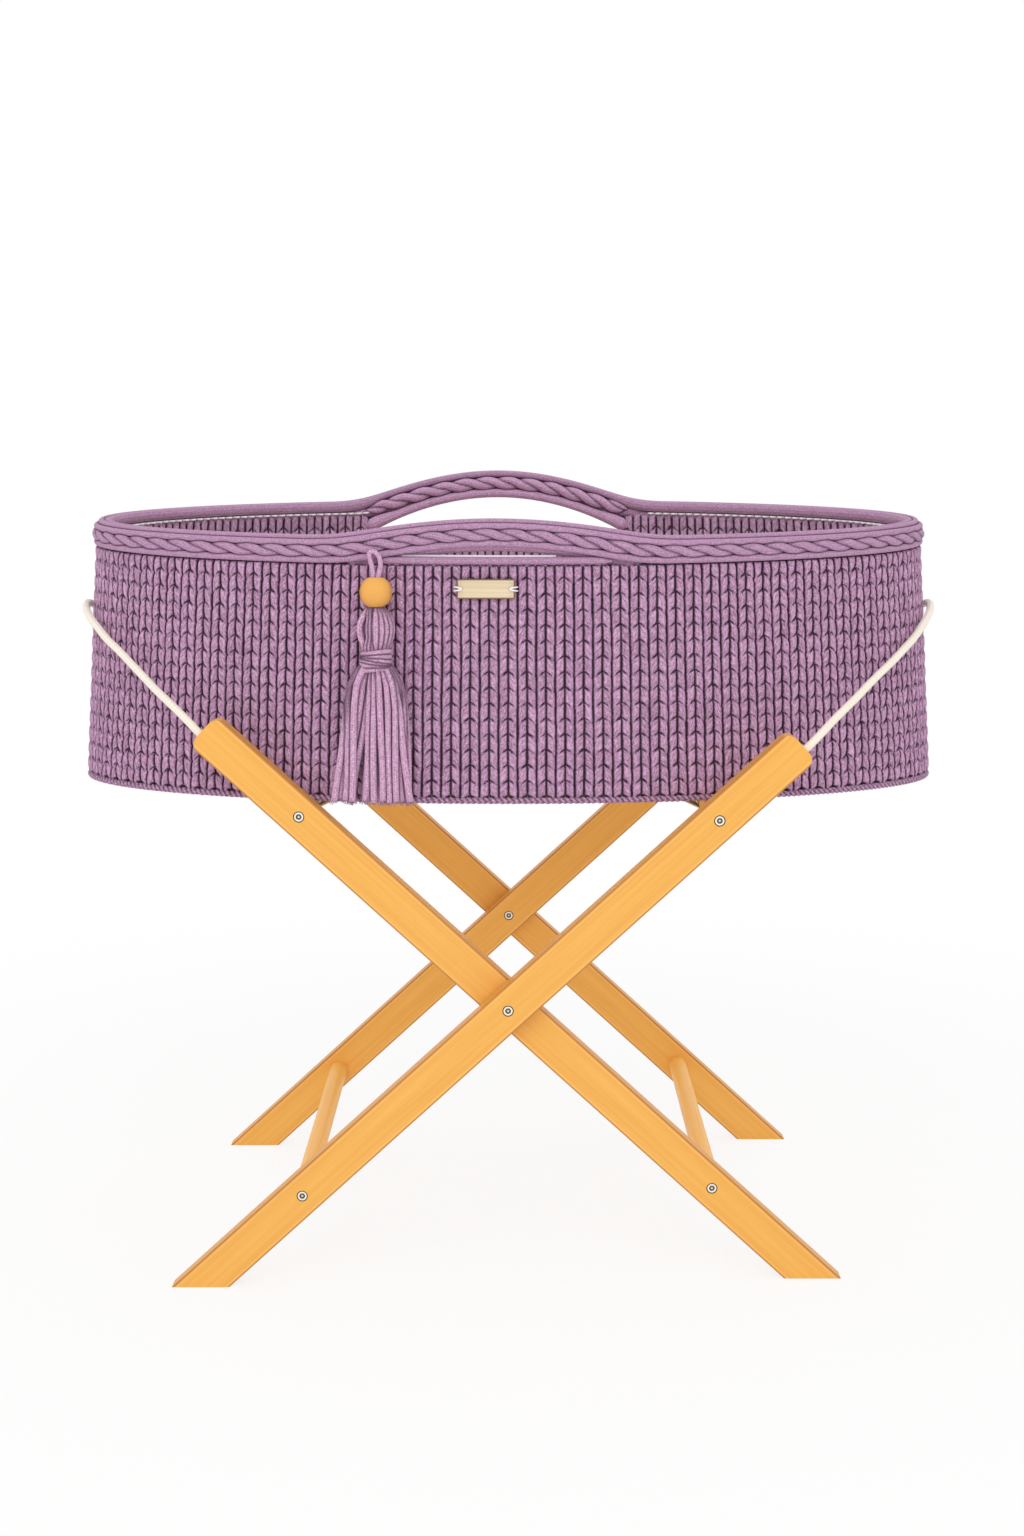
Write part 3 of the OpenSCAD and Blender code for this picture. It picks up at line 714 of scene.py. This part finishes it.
# The lining is coloured dark so that gaps between the stitches show as painted shade.
dark_shade_lining, nodes = new_material("dark_shade_lining")
felt = nodes.noise(nodes.place(), 400.0, 4.0)
surface(nodes, felt.blend(crease_painted_shade, yarn_mid), 0.95, felt, 0.0003)
lining = add_piece("wall_lining", mesh_of(shape, "wall_lining"), dark_shade_lining)
layer = lining.modifiers.new("felt_thickness", "SOLIDIFY")
layer.thickness = lining_thick
layer.offset = -1.0
hold(lining, "basket", "knit_yarn")

# Base edging
# A thin cord of two plies, twisted from the same cotton yarn. It is laid once round the foot of the
# wall, where it covers the edge of the base board, and sewn to the lowest row of stitches.
edging_low, edging_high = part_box("base_edging")
edging_inset = 0.0027
edging_lift = 0.0021
edging_half = (edging_high.x - edging_inset, edging_high.y - edging_inset)
edging_middle = edging_low.z + edging_lift
ply_radius = 0.0019
ply_orbit = 0.0012
ply_pitch = 0.0100
ply_steps = 10
crease_reach = 0.0014
edging_light = (0.740, 0.452, 0.672)
edging_mid = (0.285, 0.146, 0.250)


def edging_line(turn):
    """The middle of the edging cord."""
    return np.column_stack([edging_half[0] * np.cos(turn), edging_half[1] * np.sin(turn),
                            np.full_like(turn, edging_middle)])


def twisted(line, turns, orbit, pitch, steps, closed=True, flat=1.0):
    """Two strands wound about a line along the oval, so many steps to a turn, round or flat."""
    along = run_along(line(turns))
    count = round(along[-1] / pitch) * steps
    turn = np.interp(np.linspace(0, along[-1], count + 1), along, turns)[:count if closed else None]
    pair = []
    for phase in (0, math.pi):
        wind = phase - math.tau * np.arange(len(turn)) / steps
        swing = outward(turn, rim_half) * np.cos(wind)[:, None] * flat
        swing[:, 2] = np.sin(wind)
        pair.append(line(turn) + swing * orbit)
    return pair


def mark_meetings(mesh, strands):
    """Stores in 'meeting' how closely each point lies against a second strand, from 0 to 1, for painted
    shade.
    """
    trees = []
    for course, radius in strands:
        tree = kdtree.KDTree(len(course))
        for index, point in enumerate(course):
            tree.insert(point, index)
        tree.balance()
        trees.append((tree, np.broadcast_to(radius, len(course))))
    near = []
    for vert in mesh.vertices:
        found = [(tree.find(vert.co), radii) for tree, radii in trees]
        near.append(sorted(gap - radii[index] for (_, index, gap), radii in found)[1])
    meeting = np.clip(1 - np.array(near) / crease_reach, 0, 1)
    mesh.attributes.new("meeting", "FLOAT", "POINT").data.foreach_set("value", meeting.astype(np.float32))


def strand_yarn(name, light, mid, contact_shade, knots, round_knots, depth):
    """Cotton for long strands: so many fine stitches along one and round it, with painted shade where
    strands meet.
    """
    material, nodes = new_material(name)
    along, around, _ = nodes.chart().parts()
    meeting = nodes.node("ShaderNodeAttribute", {"attribute_name": "meeting"}, out=2)
    fibre = nodes.noise(nodes.place(), yarn_fibre, 3.0)
    plait = plaited(nodes, along * knots + fibre * 1.2, around * round_knots)
    yarn = fibre.smooth(0.25, 0.75) * 0.7 + plait.smooth(-0.8, 0.8) * 0.3
    colour = yarn.blend(mid, light)
    # Painted shade where the strand lies against another.
    colour = (meeting * 0.92).blend(colour, contact_shade)
    surface(nodes, colour, 0.9, yarn, depth, Sheen_Weight=0.1, Specular_IOR_Level=0.15)
    return material


edging_yarn = strand_yarn("mauve_cord", edging_light, edging_mid, crease_painted_shade, 420.0, 2.0, 0.0004)
plies = twisted(edging_line, turn_table, ply_orbit, ply_pitch, ply_steps)
edging_mesh = strand_mesh("edging_cord", plies, ply_radius, 6, closed=True)
mark_meetings(edging_mesh, [(ply, ply_radius) for ply in plies])
hold(add_piece("edging_cord", edging_mesh, edging_yarn), "basket", "knit_yarn", "base_edging")

# Rim and handles
# One band of corded strands runs round the top of the wall: two strands and an inner roll on top, a
# two-strand twist on the outer face and a plain strand below it. At the middle of each long side the
# band rises off the wall as a handle, with a twist and a strand on its inner face too.
band_tall = 0.024
band_gap = 0.00025
handle_reach = 0.150
front_lift = 0.016
rear_lift = 0.0265
rear_swell = 0.004
inner_reach = 0.136
twist_pitch = 0.047
twist_orbit = 0.0026
twist_flat = 0.6
twist_steps = 18
twist_radius = 0.0037
outer_twist = (0.0046, 0.0102)
inner_twist = (-0.0054, 0.0127)
inner_twist_radius = 0.0042
roll_place = (-0.0050, 0.0184)
roll_raised = (-0.0042, 0.0207)
roll_radius = 0.0056
roll_slimmed = 0.43
roll_climb = (0.02, 0.35)
slot_curve = 0.117
under_drop = {"front": 0.0045, "rear": 0.0}
under_radius = 0.0044
under_out = -0.0050
under_swell = 0.45
under_spread = (0.100, 0.128)
cord_light = (0.650, 0.395, 0.590)
cord_mid = (0.310, 0.164, 0.276)
handle_light = (0.800, 0.500, 0.730)
handle_mid = (0.390, 0.210, 0.350)
band_half = (rim_half[0] - wall_thick / 2, rim_half[1] - wall_thick / 2)
strand_turns = turn_at(np.linspace(0, 1, 641)[:-1])


def band_rise(turn):
    """Underside and height of the band, over the level of the rim."""
    rear = np.sin(turn) > 0
    low = arch(turn, slot_reach) * np.where(rear, rear_lift, front_lift)
    high = band_tall + arch(turn, handle_reach) * np.where(rear, rear_lift + rear_swell, front_lift)
    return low, high - low


def band_line(out, up):
    """The line so far out from the band's middle and so far up a plain band, as a function of the angle."""
    def points(turn):
        low, tall = band_rise(turn)
        level = rim_level(turn) + band_gap + low + tall * up / band_tall
        middle = np.column_stack([band_half[0] * np.cos(turn), band_half[1] * np.sin(turn), level])
        return middle + outward(turn, rim_half) * out
    return points


def side_turns(side, middle, span, count):
    """Angles along the front (-1) or rear (1) of the rim, over a span to each side of a middle."""
    return side * np.arccos(np.linspace(middle + side * span, middle - side * span, count) / rim_half[0])


def tapered(count, share):
    """Radius factors of a strand whose two ends taper over a share of its length."""
    along = np.linspace(0, 1, count)
    return np.sqrt(np.clip(np.minimum(along, 1 - along) / share, 0.03, 1))


def roll_line(turn):
    """The inner roll, which climbs to the top of the band over a handle."""
    climb = soft_step(arch(turn, handle_reach), *roll_climb)[:, None]
    return band_line(*roll_place)(turn) * (1 - climb) + band_line(*roll_raised)(turn) * climb


def under_strand(end, turn):
    """The lowest strand on a handle's inner face, which thickens and comes down to the wall at its ends."""
    offset = np.abs(rim_half[0] * np.cos(turn) - handle_middle)
    swell = 1 + under_swell * soft_step(offset, *under_spread)
    lift = (rear_lift if end == "rear" else front_lift) * (1 - (offset / slot_curve) ** 2)
    course = band_line(under_out, 0.0)(turn)
    course[:, 2] = rim_level(turn) + band_gap + lift + under_radius * swell - under_drop[end]
    return course, swell * tapered(len(turn), 0.02)


def band_twist(place, turns, closed):
    """The two strands of a twist that runs along the band at that place, out and up."""
    return twisted(band_line(*place), turns, twist_orbit, twist_pitch, twist_steps, closed, twist_flat)


roll_swell = 1 - roll_slimmed * soft_step(arch(strand_turns, handle_reach), *roll_climb)
# Each strand has a name, its courses, a radius and, where it swells or tapers, factors of that radius.
rim_strands = [
    ("rim_outer_strand", [band_line(0.0052, 0.0174)(strand_turns)], 0.0028, None),
    ("rim_middle_strand", [band_line(0.0008, 0.0209)(strand_turns)], 0.0031, None),
    ("rim_inner_roll", [roll_line(strand_turns)], roll_radius, roll_swell),
    ("rim_low_strand", [band_line(0.0054, 0.0029)(strand_turns)], 0.0029, None),
    ("rim_core", [band_line(0.0, 0.0110)(strand_turns)], 0.0060, None),
    ("rim_twist", band_twist(outer_twist, turn_table, True), twist_radius, None),
]
handle_strands = []
for end, side in (("front", -1), ("rear", 1)):
    turns = side_turns(side, handle_middle, inner_reach, 200)
    courses = band_twist(inner_twist, turns, False)
    swell = tapered(len(courses[0]), 0.06)
    handle_strands.append((f"{end}_handle_twist", courses, inner_twist_radius, swell))
    course, swell = under_strand(end, turns)
    handle_strands.append((f"{end}_handle_strand", [course], under_radius, swell))
rim_yarn = strand_yarn("mauve_strand", cord_light, cord_mid, crease_painted_shade, 450.0, 5.0, 0.0004)
handle_yarn = strand_yarn("mauve_handle", handle_light, handle_mid, crease_painted_shade, 64.0, 5.0, 0.0004)
all_courses = [
    (course, radius if swell is None else radius * swell)
    for _, courses, radius, swell in rim_strands + handle_strands
    for course in courses
]
band_nodes = ("left_rim", "right_rim", "front_handle", "rear_handle")
for strands, closed, finish in ((rim_strands, True, rim_yarn), (handle_strands, False, handle_yarn)):
    for name, courses, radius, swell in strands:
        mesh = strand_mesh(name, courses, radius, 16, closed, swell)
        mark_meetings(mesh, all_courses)
        hold(add_piece(name, mesh, finish), "basket", "knit_yarn", *band_nodes)

# Handle edges
# A single strand of the same cord is sewn along the wall's edge under each handle, and its ends tuck in
# under the band. White sewing thread shows behind the front one and below the roll inside the basket.
lip_radius = 0.0034
lip_out = {"front": 0.0025, "rear": 0.0}
lip_reach = {"front": 0.104, "rear": 0.100}
lip_points = 120
seam_middle = -0.026
seam_reach = 0.068
seam_radius = 0.0013
seam_in = 0.0022
seam_up = 0.0008
lacing_reach = 1.20
lacing_rise = 0.0114
lacing_in = 0.0045
lacing_shown = 0.0062
lacing_radius = 0.0011
thread_white = (0.97, 0.96, 0.96)
thread_grey = (0.93, 0.92, 0.92)


def edge_line(out, up):
    """The line so far out from the band's middle and so far above the wall's edge."""
    def points(turn):
        level = wall_edge(turn) + up
        middle = np.column_stack([band_half[0] * np.cos(turn), band_half[1] * np.sin(turn), level])
        return middle + outward(turn, rim_half) * out
    return points


edge_yarn = strand_yarn("mauve_edge", cord_light, cord_mid, crease_painted_shade, 46.0, 5.0, 0.0004)
for end, side in (("front", -1), ("rear", 1)):
    turns = side_turns(side, handle_middle, lip_reach[end], lip_points)
    course = edge_line(lip_out[end], lip_radius + band_gap)(turns)
    mesh = strand_mesh(end + "_edge_strand", [course], lip_radius, 12, swell=tapered(lip_points, 0.04))
    mark_meetings(mesh, [*all_courses, (course, lip_radius)])
    hold(add_piece(end + "_edge_strand", mesh, edge_yarn), "basket", "knit_yarn", end + "_handle_lip")

white_thread = strand_yarn("white_thread", thread_white, thread_grey, thread_grey, 300.0, 1.0, 0.0001)
seam_line = edge_line(lip_out["front"] - seam_in, 2 * lip_radius + seam_up)
seam = seam_line(side_turns(-1, seam_middle, seam_reach, 80))
lacing = []
for middle in (-math.pi, 0.0):
    turns = np.linspace(middle - lacing_reach, middle + lacing_reach, 900)
    weave = np.sin(np.interp(turns, turn_table, arc_table, period=math.tau) * lobes * math.pi) ** 2
    shown = weave * soft_step(lacing_reach - np.abs(turns - middle), 0.0, 0.03)
    inward = outward(turns, rim_half) * (-lacing_in - lacing_shown * shown)[:, None]
    course = band_line(0.0, 0.0)(turns) + inward
    course[:, 2] += lacing_rise
    lacing.append(course)
sewn = (("edge_thread", [seam], seam_radius), ("rim_lacing", lacing, lacing_radius))
for name, courses, radius in sewn:
    hold(add_piece(name, strand_mesh(name, courses, radius, 6), white_thread), "basket", "thread")

# Label plate
# A small plate of pale raw wood with browned edges, blank, tied to the knitting with white thread through
# a hole at each end. The holes are painted dark as shade.
label_x = -0.019
label_drop = 0.020
label_half = (0.025, 0.0085)
label_hole = 0.021
tie_radius = 0.0007
label_light = (0.80, 0.67, 0.48)
label_dark = (0.66, 0.51, 0.33)
label_burn_and_hole_shade = (0.16, 0.060, 0.020)


def wall_place(x):
    """The frame at a place on the front wall: x along it, -y off it and z up from the rim."""
    turn = -math.acos(x / rim_half[0])
    top = Vector((rim_half[0] * math.cos(turn), rim_half[1] * math.sin(turn), rim_level(turn)))
    foot = Vector((base_half[0] * math.cos(turn), base_half[1] * math.sin(turn), wall_base))
    normal = Vector(outward(np.array([turn]), rim_half)[0])
    spin = Matrix.Rotation(math.atan2(normal.x, -normal.y), 4, "Z")
    tilt = Matrix.Rotation(-math.atan2((foot - top).dot(normal), top.z - foot.z), 4, "X")
    return Matrix.Translation(top) @ spin @ tilt


def hung(place, points):
    """Points beside the wall, moved to where they lie in the basket."""
    return np.array([place @ Vector(point) for point in points])


label_place = wall_place(label_x) @ Matrix.Translation((0, 0, -label_drop))
label_wood, nodes = new_material("pale_label_wood")
place = nodes.place()
level = tuple(label_place.col[0][:3])
upright = tuple(label_place.col[2][:3])
across = reach(nodes, place, level) - label_place.translation.dot(Vector(level))
up = reach(nodes, place, upright) - label_place.translation.dot(Vector(upright))
grain = grain_of(nodes, across, up, 0.0)
edge = nodes.math("MAXIMUM", abs(across).smooth(label_half[0] - 0.0015, label_half[0] - 0.0007),
                  abs(up).smooth(label_half[1] - 0.0015, label_half[1] - 0.0007))
ends = abs(across).smooth(label_half[0] - 0.0075, label_half[0] - 0.0025)
colour = grain.blend(label_dark, label_light)
colour = (ends * 0.10).blend(colour, label_burn_and_hole_shade)
colour = (edge * 0.92).blend(colour, label_burn_and_hole_shade)
# The holes are painted dark as shade; the edges and ends are browned wood.
from_hole = (abs(across) - label_hole).far(up)
colour = (1 - from_hole.smooth(0.0012, 0.0016)).blend(colour, label_burn_and_hole_shade)
surface(nodes, colour, 0.65, grain, 0.0001, Specular_IOR_Level=0.3)
dress("label_plate", label_wood)
ties = []
for side in (-1, 1):
    for spread in (-0.0016, 0.0016):
        tie = [(0.0205, -0.0008, 0), (0.0208, -0.0030, spread * 0.3), (0.0228, -0.0039, spread * 0.6),
               (0.0252, -0.0036, spread * 0.9), (0.0268, -0.0014, spread), (0.0272, 0.0014, spread)]
        ties.append(hung(label_place, smoothed([(side * x, y, z) for x, y, z in tie], 5)))
hold(add_piece("label_ties", strand_mesh("label_ties", ties, tie_radius, 8), white_thread),
     "basket", "thread", "label_threads")

# Tassel
# A hanging loop of cord carries a honey-stained wooden bead and a tassel: cords gathered into a looped
# head, bound round the neck, and left to hang as a skirt with frayed ends.
tassel_x = -0.111
tassel_out = -0.0145
tassel_cord = 0.0043
head_top = -0.036
head_tall = 0.037
head_flat = 0.71
head_strand = 0.0026
wrap_half = (0.0120, 0.0118)
wrap_start = 0.0010
wrap_tall = 0.0165
wrap_slant = 0.0022
wrap_radius = 0.0021
wrap_turns = 6
turn_steps = 24
skirt_top = -0.0870
skirt_foot = -0.2045
skirt_half = (0.0323, 0.0098)
strand_radius = 0.0029
fray_radius = 0.0004
strand_frays = 8
tassel_light = (0.950, 0.600, 0.850)
tassel_mid = (0.330, 0.162, 0.275)
# The darkest tassel colour is painted shade where its strands meet.
tassel_contact_shade = (0.040, 0.007, 0.030)
bead_light = (0.86, 0.435, 0.098)
bead_deep = (0.78, 0.380, 0.080)
bead_side_shade = (0.50, 0.20, 0.035)
loop_route = [
    (-0.0022, -0.0145, -0.0360), (-0.0022, -0.0145, -0.0280), (-0.0022, -0.0145, -0.0190),
    (-0.0022, -0.0145, -0.0105), (-0.0032, -0.0126, -0.0060), (-0.0046, -0.0096, -0.0015),
    (-0.0060, -0.0074, 0.0030), (-0.0072, -0.0063, 0.0070), (-0.0074, -0.0060, 0.0096),
    (-0.0050, -0.0060, 0.0110), (-0.0020, -0.0060, 0.0102), (0.0006, -0.0062, 0.0074),
    (0.0024, -0.0070, 0.0030), (0.0028, -0.0092, -0.0015), (0.0026, -0.0126, -0.0060),
    (0.0022, -0.0145, -0.0105), (0.0022, -0.0145, -0.0190), (0.0022, -0.0145, -0.0280),
    (0.0022, -0.0145, -0.0360),
]
tassel_place = wall_place(tassel_x)
tassel_yarns = {
    piece: strand_yarn(f"tassel_{piece}_yarn", tassel_light, tassel_mid, tassel_contact_shade, knots, 4.0, 0.0006)
    for piece, knots in (("loop", 27.0), ("head", 13.0), ("wrap", 19.0), ("skirt", 30.0))
}

loop_path = hung(tassel_place, smoothed(loop_route, 6))
loop_mesh = strand_mesh("tassel_loop_cord", [loop_path], tassel_cord / 2, 12)
loop = add_piece("tassel_loop_cord", loop_mesh, tassel_yarns["loop"])
hold(loop, "tassel", "tassel_yarn", "tassel_loop")

bead_wood, nodes = new_material("stained_bead")
place = nodes.place()
x, y, z = place.parts()
grain = grain_of(nodes, z, x, y)
speck = nodes.noise(place, 1400.0, 2.0)
# The bead's left and right sides are darkened as painted shade.
bead_sides = abs(x - middle_of("tassel_bead", 0)).smooth(0.0100, 0.0142)
colour = (grain * 0.5 + speck * 0.5).blend(bead_deep, bead_light)
colour = (bead_sides * 0.45).blend(colour, bead_side_shade)
surface(nodes, colour, 0.5, speck, 0.0001, Specular_IOR_Level=0.35)
dress("tassel_bead", bead_wood)


def profile(share, marks):
    """The value at each share, along straight lines between marks of (share, value)."""
    at, value = np.array(marks).T
    return np.interp(share, at, value)


def gathered(piece, node, courses, radius):
    """A group of yarn strands of the tassel as one piece, in place of a node."""
    mesh = strand_mesh(f"tassel_{piece}_strands", courses, radius, 10)
    mark_meetings(mesh, [(course, radius) for course in courses])
    hold(add_piece(mesh.name, mesh, tassel_yarns[piece]), "tassel", "tassel_yarn", node)


head_shape = [
    (-0.06, 0.0026), (0, 0.0032), (0.08, 0.0070), (0.2, 0.0110), (0.4, 0.0142), (0.55, 0.0146),
    (0.75, 0.0130), (0.9, 0.0106), (1.0, 0.0092), (1.5, 0.0090),
]
head_share = np.linspace(-0.06, 1.3, 26)
head_girth = profile(head_share, head_shape)
head_bulge = soft_step(head_share, 0.0, 0.3) * (1 - soft_step(head_share, 0.7, 1.0))
head_courses = []
for angle, depth in ((-8, 1), (-26, 1), (-44, 1), (-62, 1), (-80, 1), (30, 1), (60, 1), (90, 1), (120, 1),
                     (150, 1), (-178, 1), (-160, 1), (-98, 0.50), (-116, 0.55), (-136, 0.55)):
    turn = math.radians(angle)
    girth = head_girth * (1 - (1 - depth) * head_bulge)
    line = np.column_stack([
        girth * math.cos(turn),
        girth * math.sin(turn) * head_flat + tassel_out,
        head_top - head_tall * head_share,
    ])
    head_courses.append(hung(tassel_place, line))
gathered("head", "tassel_head", head_courses, head_strand)

wrap_share = np.linspace(0, 1, wrap_turns * turn_steps + 1)
wrap_wind = math.pi / 2 + wrap_share * wrap_turns * math.tau
wrap_line = np.column_stack([
    wrap_half[0] * np.cos(wrap_wind),
    wrap_half[1] * np.sin(wrap_wind) + tassel_out,
    head_top - head_tall - wrap_start - wrap_tall * wrap_share,
])
wrap_line[:, 2] += wrap_slant * np.cos(wrap_wind) * np.sin(wrap_share * 7 + 1)
wrap_line = hung(tassel_place, wrap_line)
wraps = [wrap_line[start:start + turn_steps + 1] for start in range(0, wrap_turns * turn_steps, turn_steps)]
gathered("wrap", "tassel_binding", wraps, wrap_radius)

skirt_flare = [(0, 0.36), (0.06, 0.52), (0.135, 0.66), (0.285, 0.765), (0.586, 0.86), (1.0, 1.0)]
skirt_share = np.linspace(0, 1, 30)
draw = np.random.default_rng(5)
skirt_courses = []
frays = []
for count, depth in ((9, -0.74), (8, 0.0), (9, 0.78)):
    for spot in np.linspace(-1, 1, count):
        bow = math.sqrt(1 - 0.6 * spot * spot)
        above, below = np.clip(spot + draw.normal(0, (0.12, 0.07)), -1, 1)
        lean = above + (below - above) * soft_step(skirt_share, 0.1, 0.9)
        wave = draw.uniform(0.0006, 0.0018) * np.sin(skirt_share * draw.uniform(3, 7) + draw.uniform(0, 6))
        stand = np.clip(depth * bow + draw.normal(0, 0.12), -0.85, 0.85)
        foot = skirt_foot + abs(draw.normal(0, 0.0016))
        line = np.column_stack([
            lean * skirt_half[0] * profile(skirt_share, skirt_flare) + (wave - 0.0025) * skirt_share,
            tassel_out + stand * skirt_half[1] * profile(skirt_share, [(0, 0.95), (0.3, 0.75), (1, 1)]),
            skirt_top + (foot - skirt_top) * skirt_share,
        ])
        skirt_courses.append(hung(tassel_place, line))
        for _ in range(strand_frays):
            start = line[-1] + [draw.normal(0, 0.0013), draw.normal(0, 0.0011), 0.0025]
            tip = start + [draw.normal(0, 0.0016), draw.normal(0, 0.0010), -draw.uniform(0.0035, 0.0062)]
            frays.append(hung(tassel_place, [start, (start + tip) / 2 + [0.0004, 0, 0], tip]))
gathered("skirt", "tassel_skirt", skirt_courses, strand_radius)
fray_mesh = strand_mesh("tassel_frays", frays, fray_radius, 4)
hold(add_piece("tassel_frays", fray_mesh, tassel_yarns["skirt"]), "tassel", "tassel_yarn")

# Floor and light
# A matt white studio floor keeps a pale shadow near the feet and fades to plain white further out.
# Even, soft light comes from all round, and a broad lamp stands above the camera.
floor_size = 12.0
floor_white = (0.95, 0.95, 0.95)
floor_glow = 0.8
fade_from = 0.5
fade_to = 1.6
room_light = 0.88


def backdrop(nodes):
    """1 where the camera sees a surface, straight, mirrored or through glass, and 0 for other light."""
    path = nodes.node("ShaderNodeLightPath")
    return nodes.math("MAXIMUM", path, nodes.math("MAXIMUM", path.other(3), path.other(6)))


shape = bmesh.new()
bmesh.ops.create_grid(shape, x_segments=1, y_segments=1, size=floor_size / 2)
floor_paint, nodes = new_material("studio_floor")
matte = nodes.node("ShaderNodeBsdfDiffuse", sockets={"Color": floor_white})
glow = nodes.node("ShaderNodeEmission", sockets={"Strength": 1.0})
away = nodes.node("ShaderNodeVectorMath", {"operation": "LENGTH"}, {0: nodes.place()}, out=1)
share = backdrop(nodes) * (floor_glow + away.smooth(fade_from, fade_to) * (1 - floor_glow))
mixed = nodes.node("ShaderNodeMixShader", sockets={0: share, 1: matte, 2: glow})
nodes.node("ShaderNodeOutputMaterial", sockets={"Surface": mixed})
floor = add_piece("studio_floor", mesh_of(shape, "studio_floor"), floor_paint)

world = bpy.data.worlds.new("studio")
scene.world = world
world.use_nodes = True
world.node_tree.nodes.clear()
nodes = Shade(world.node_tree)
room = nodes.node("ShaderNodeBackground", sockets={"Color": (1.0, 1.0, 1.0), "Strength": room_light})
white = nodes.node("ShaderNodeBackground", sockets={"Color": (1.0, 1.0, 1.0), "Strength": 1.0})
mixed = nodes.node("ShaderNodeMixShader", sockets={0: backdrop(nodes), 1: room, 2: white})
nodes.node("ShaderNodeOutputWorld", sockets={"Surface": mixed})

lamp = bpy.data.objects.new("soft_lamp", bpy.data.lights.new("soft_lamp", "AREA"))
lamp.data.size = 2.4
lamp.data.energy = 27.0
lamp.location = (-0.3, -2.7, 2.4)
lamp.rotation_euler = (Vector((0, 0, 0.45)) - lamp.location).to_track_quat("-Z", "Y").to_euler()
scene.collection.objects.link(lamp)
